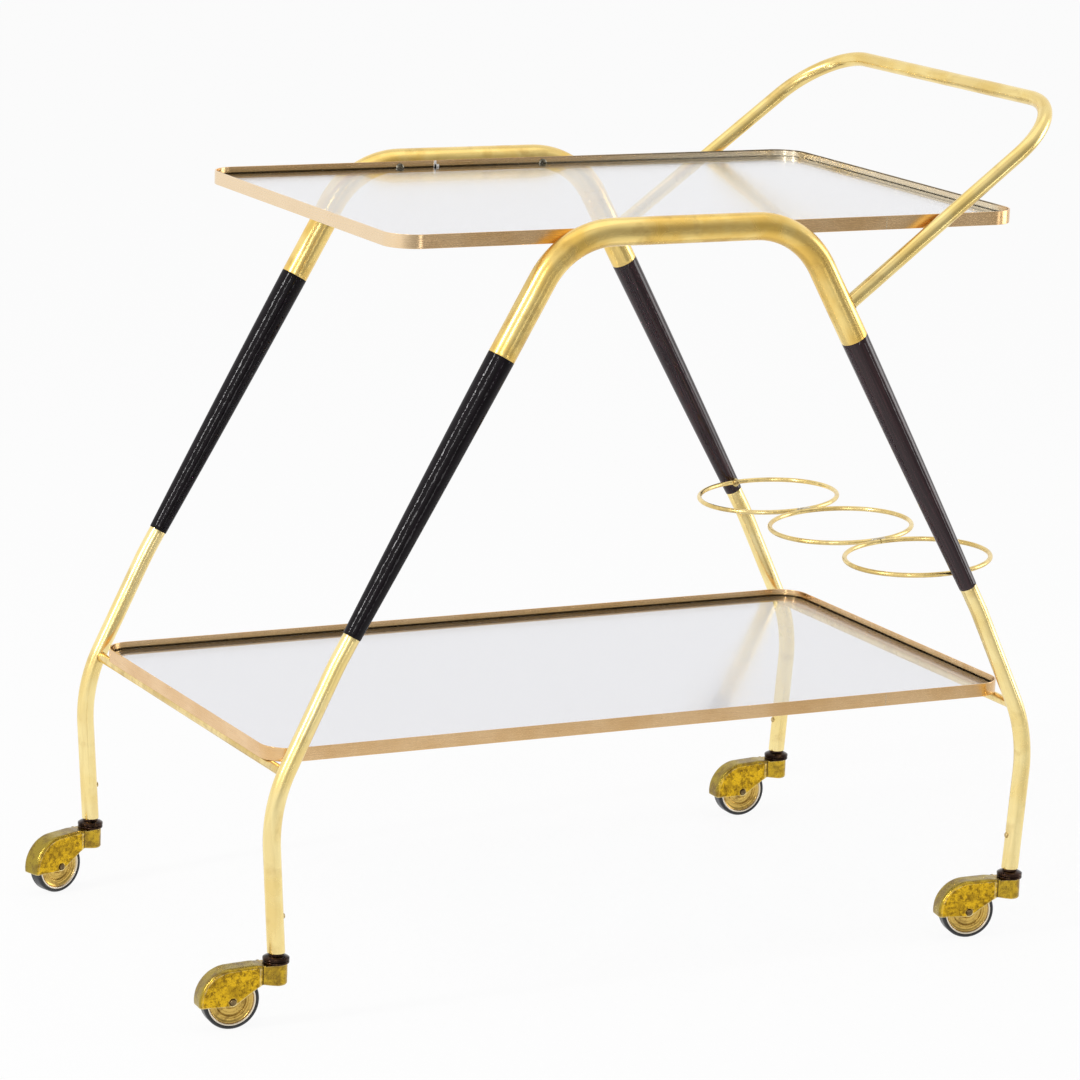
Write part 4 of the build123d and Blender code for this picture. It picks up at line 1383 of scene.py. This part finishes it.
# %% Four hoods
for end, side in LEGS:
    mesh = hood.data.copy()
    mesh.transform(caster_place(end, side))
    mesh.name = f"cast_hood_{end}_{side}"
    cover = new_piece(mesh.name, mesh)
    place_on(cover, f"caster_{end}_{side}", "cast_brass", f"caster_hood_{end}_{side}")
bpy.data.objects.remove(hood)
print("four hoods")

# %% [markdown]
# ## Collars and washers
# Between hood and foot sits a stack of turned bronze: a washer on the hood, a dark gap where
# it swivels, a broad collar with a sloping shoulder, and a neck under the tube. These are
# lathe work, and each outline is written from the axis outwards.

# %% Turn collars and washers
stem_bore = 3.5 * mm + glue_gap


def washer_outline():
    """A ring with round edges."""
    low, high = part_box("caster_washer_left_near")
    outer = (high.x - low.x) / 2
    corners = [(stem_bore, low.z), (outer, low.z), (outer, high.z), (stem_bore, high.z)]
    return eased(corners, 0.7 * mm, 4, closed=True)


def collar_outline():
    """A rim with a fine groove, a sloping shoulder and a neck."""
    low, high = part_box("caster_collar_left_near")
    rim = (high.x - low.x) / 2
    neck = 6.4 * mm
    shoulder = high.z - 1.7 * mm
    groove = [(rim, low.z + 0.8 * mm), (rim - 0.25 * mm, low.z + 0.95 * mm), (rim, low.z + 1.1 * mm)]
    slope = [(rim, shoulder - 2.0 * mm), (rim - 1.4 * mm, shoulder - 1.1 * mm)]
    slope += [(neck + 0.2 * mm, shoulder), (neck, shoulder + 0.2 * mm)]
    points = [(stem_bore, low.z), (rim, low.z), *groove, *slope, (neck, high.z), (stem_bore, high.z)]
    return eased(points, 0.35 * mm, 3, closed=True)


for end, side in LEGS:
    place = caster_place(end, side)
    key = f"{end}_{side}"
    washer = turn_on_lathe(f"bronze_washer_{key}", washer_outline(), place, dark_bronze, 72, closed=True)
    place_on(washer, f"caster_{key}", "dark_bronze", f"caster_washer_{key}")
    collar = turn_on_lathe(f"bronze_collar_{key}", collar_outline(), place, dark_bronze, 72, closed=True)
    place_on(collar, "frame", "dark_bronze", f"caster_collar_{key}")
print("collar faces", len(collar.data.polygons))

# %% [markdown]
# ## Wheels
# A wheel is a dished metal disc with a ring pressed into each face, a lip that holds the
# tyre, and a hub in the middle. The tyre is a rubber band with round shoulders and two fine
# moulding lines. Both are closed outlines, turned about the axle.

# %% Turn wheels and tyres
def disc_outline():
    """Half of the disc's section from the bore outwards, then the same on the other face."""
    hub = [(2.55, 6.9), (4.9, 6.9), (5.5, 6.3), (6.4, 3.4)]
    dish = [(9.2, 3.15), (11.9, 3.2), (12.5, 4.25), (13.5, 4.3), (14.6, 3.65), (16.0, 3.75)]
    lip = [(17.5, 4.3), (18.5, 5.9), (19.7, 5.9)]
    near = [(radius * mm, height * mm) for radius, height in hub + dish + lip]
    far = [(radius, -height) for radius, height in reversed(near)]
    return eased(near + far, 0.5 * mm, 3, closed=True)


def tyre_outline():
    """The tyre's section, from its seat on the disc out to the tread and back."""
    seat = 19.7 * mm
    tread = wheel_radius
    half = 6.2 * mm
    line = 3.9 * mm
    points = [(seat, -half), (tread - 0.9 * mm, -half), (tread, -half + 1.6 * mm)]
    for side in (-1, 1):
        middle = side * line
        points += [(tread, middle - 0.25 * mm), (tread - 0.15 * mm, middle), (tread, middle + 0.25 * mm)]
    points += [(tread, half - 1.6 * mm), (tread - 0.9 * mm, half), (seat, half)]
    return eased(points, 0.7 * mm, 3, closed=True)


for end, side in LEGS:
    place = caster_place(end, side) @ wheel_centre
    key = f"{end}_{side}"
    disc = turn_on_lathe(f"wheel_disc_{key}", disc_outline(), place, wheel_plate, 96, closed=True)
    place_on(disc, f"wheel_{key}", "wheel_metal", f"caster_wheel_{key}")
    tyre = turn_on_lathe(f"rubber_tyre_{key}", tyre_outline(), place, rubber, 96, closed=True)
    place_on(tyre, f"wheel_{key}", "tyre_rubber", f"caster_tyre_{key}")
print("disc faces", len(disc.data.polygons), "tyre faces", len(tyre.data.polygons))

# %% [markdown]
# ## Solder on the rack
# The three rings are held to each other by two lumps of solder, melted on by hand. The same
# remesh that made the castings softens the CAD beads, and stronger noise makes them sag.

# %% Solder beads
solder = cast_from("ring_solder", "rack_solder", Matrix.Identity(4), 0.22 * mm, 4)
dent(solder, 0.45 * mm, 2.2 * mm)
solder.data.materials.clear()
solder.data.materials.append(solder_metal)
place_on(solder, "frame", "solder", "ring_solder")
print("solder faces", len(solder.data.polygons))

# %% [markdown]
# ## Pieces that stay as they came
# Rings, crossbars, stems, axles and the small screws already have their real shape in the
# CAD. They keep it and only get a finish, which replaces the materials their meshes came with.

# %% Finish the CAD pieces
carried = {
    "bottle_ring": bar_brass,
    "crossbar": bar_brass,
    "ring_screws": screw_brass,
    "caster_set_screws": screw_brass,
    "caster_stem": steel,
    "caster_axle": axle_steel,
    "caster_socket": bar_brass,
}
finished = []
for node, piece in frame["nodes"].items():
    for start, finish in carried.items():
        if node.startswith(start):
            piece.data.materials.clear()
            piece.data.materials.append(finish)
            finished.append(node)
bare = [node for node, piece in frame["nodes"].items() if not piece.hide_render and node not in finished]
print(len(finished), "CAD pieces finished, left bare:", bare)

# %% [markdown]
# ## The box
# The visual model's box is compared with the CAD's, and the differences printed. The
# visual model must fill the same box as the CAD.

# %% Sizes and the last check
seen_low, seen_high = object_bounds()
pairs = zip((*seen_low, *seen_high), (*cad_low, *cad_high))
print("boxes differ by", [round((seen - cad) / mm, 3) for seen, cad in pairs], "mm")
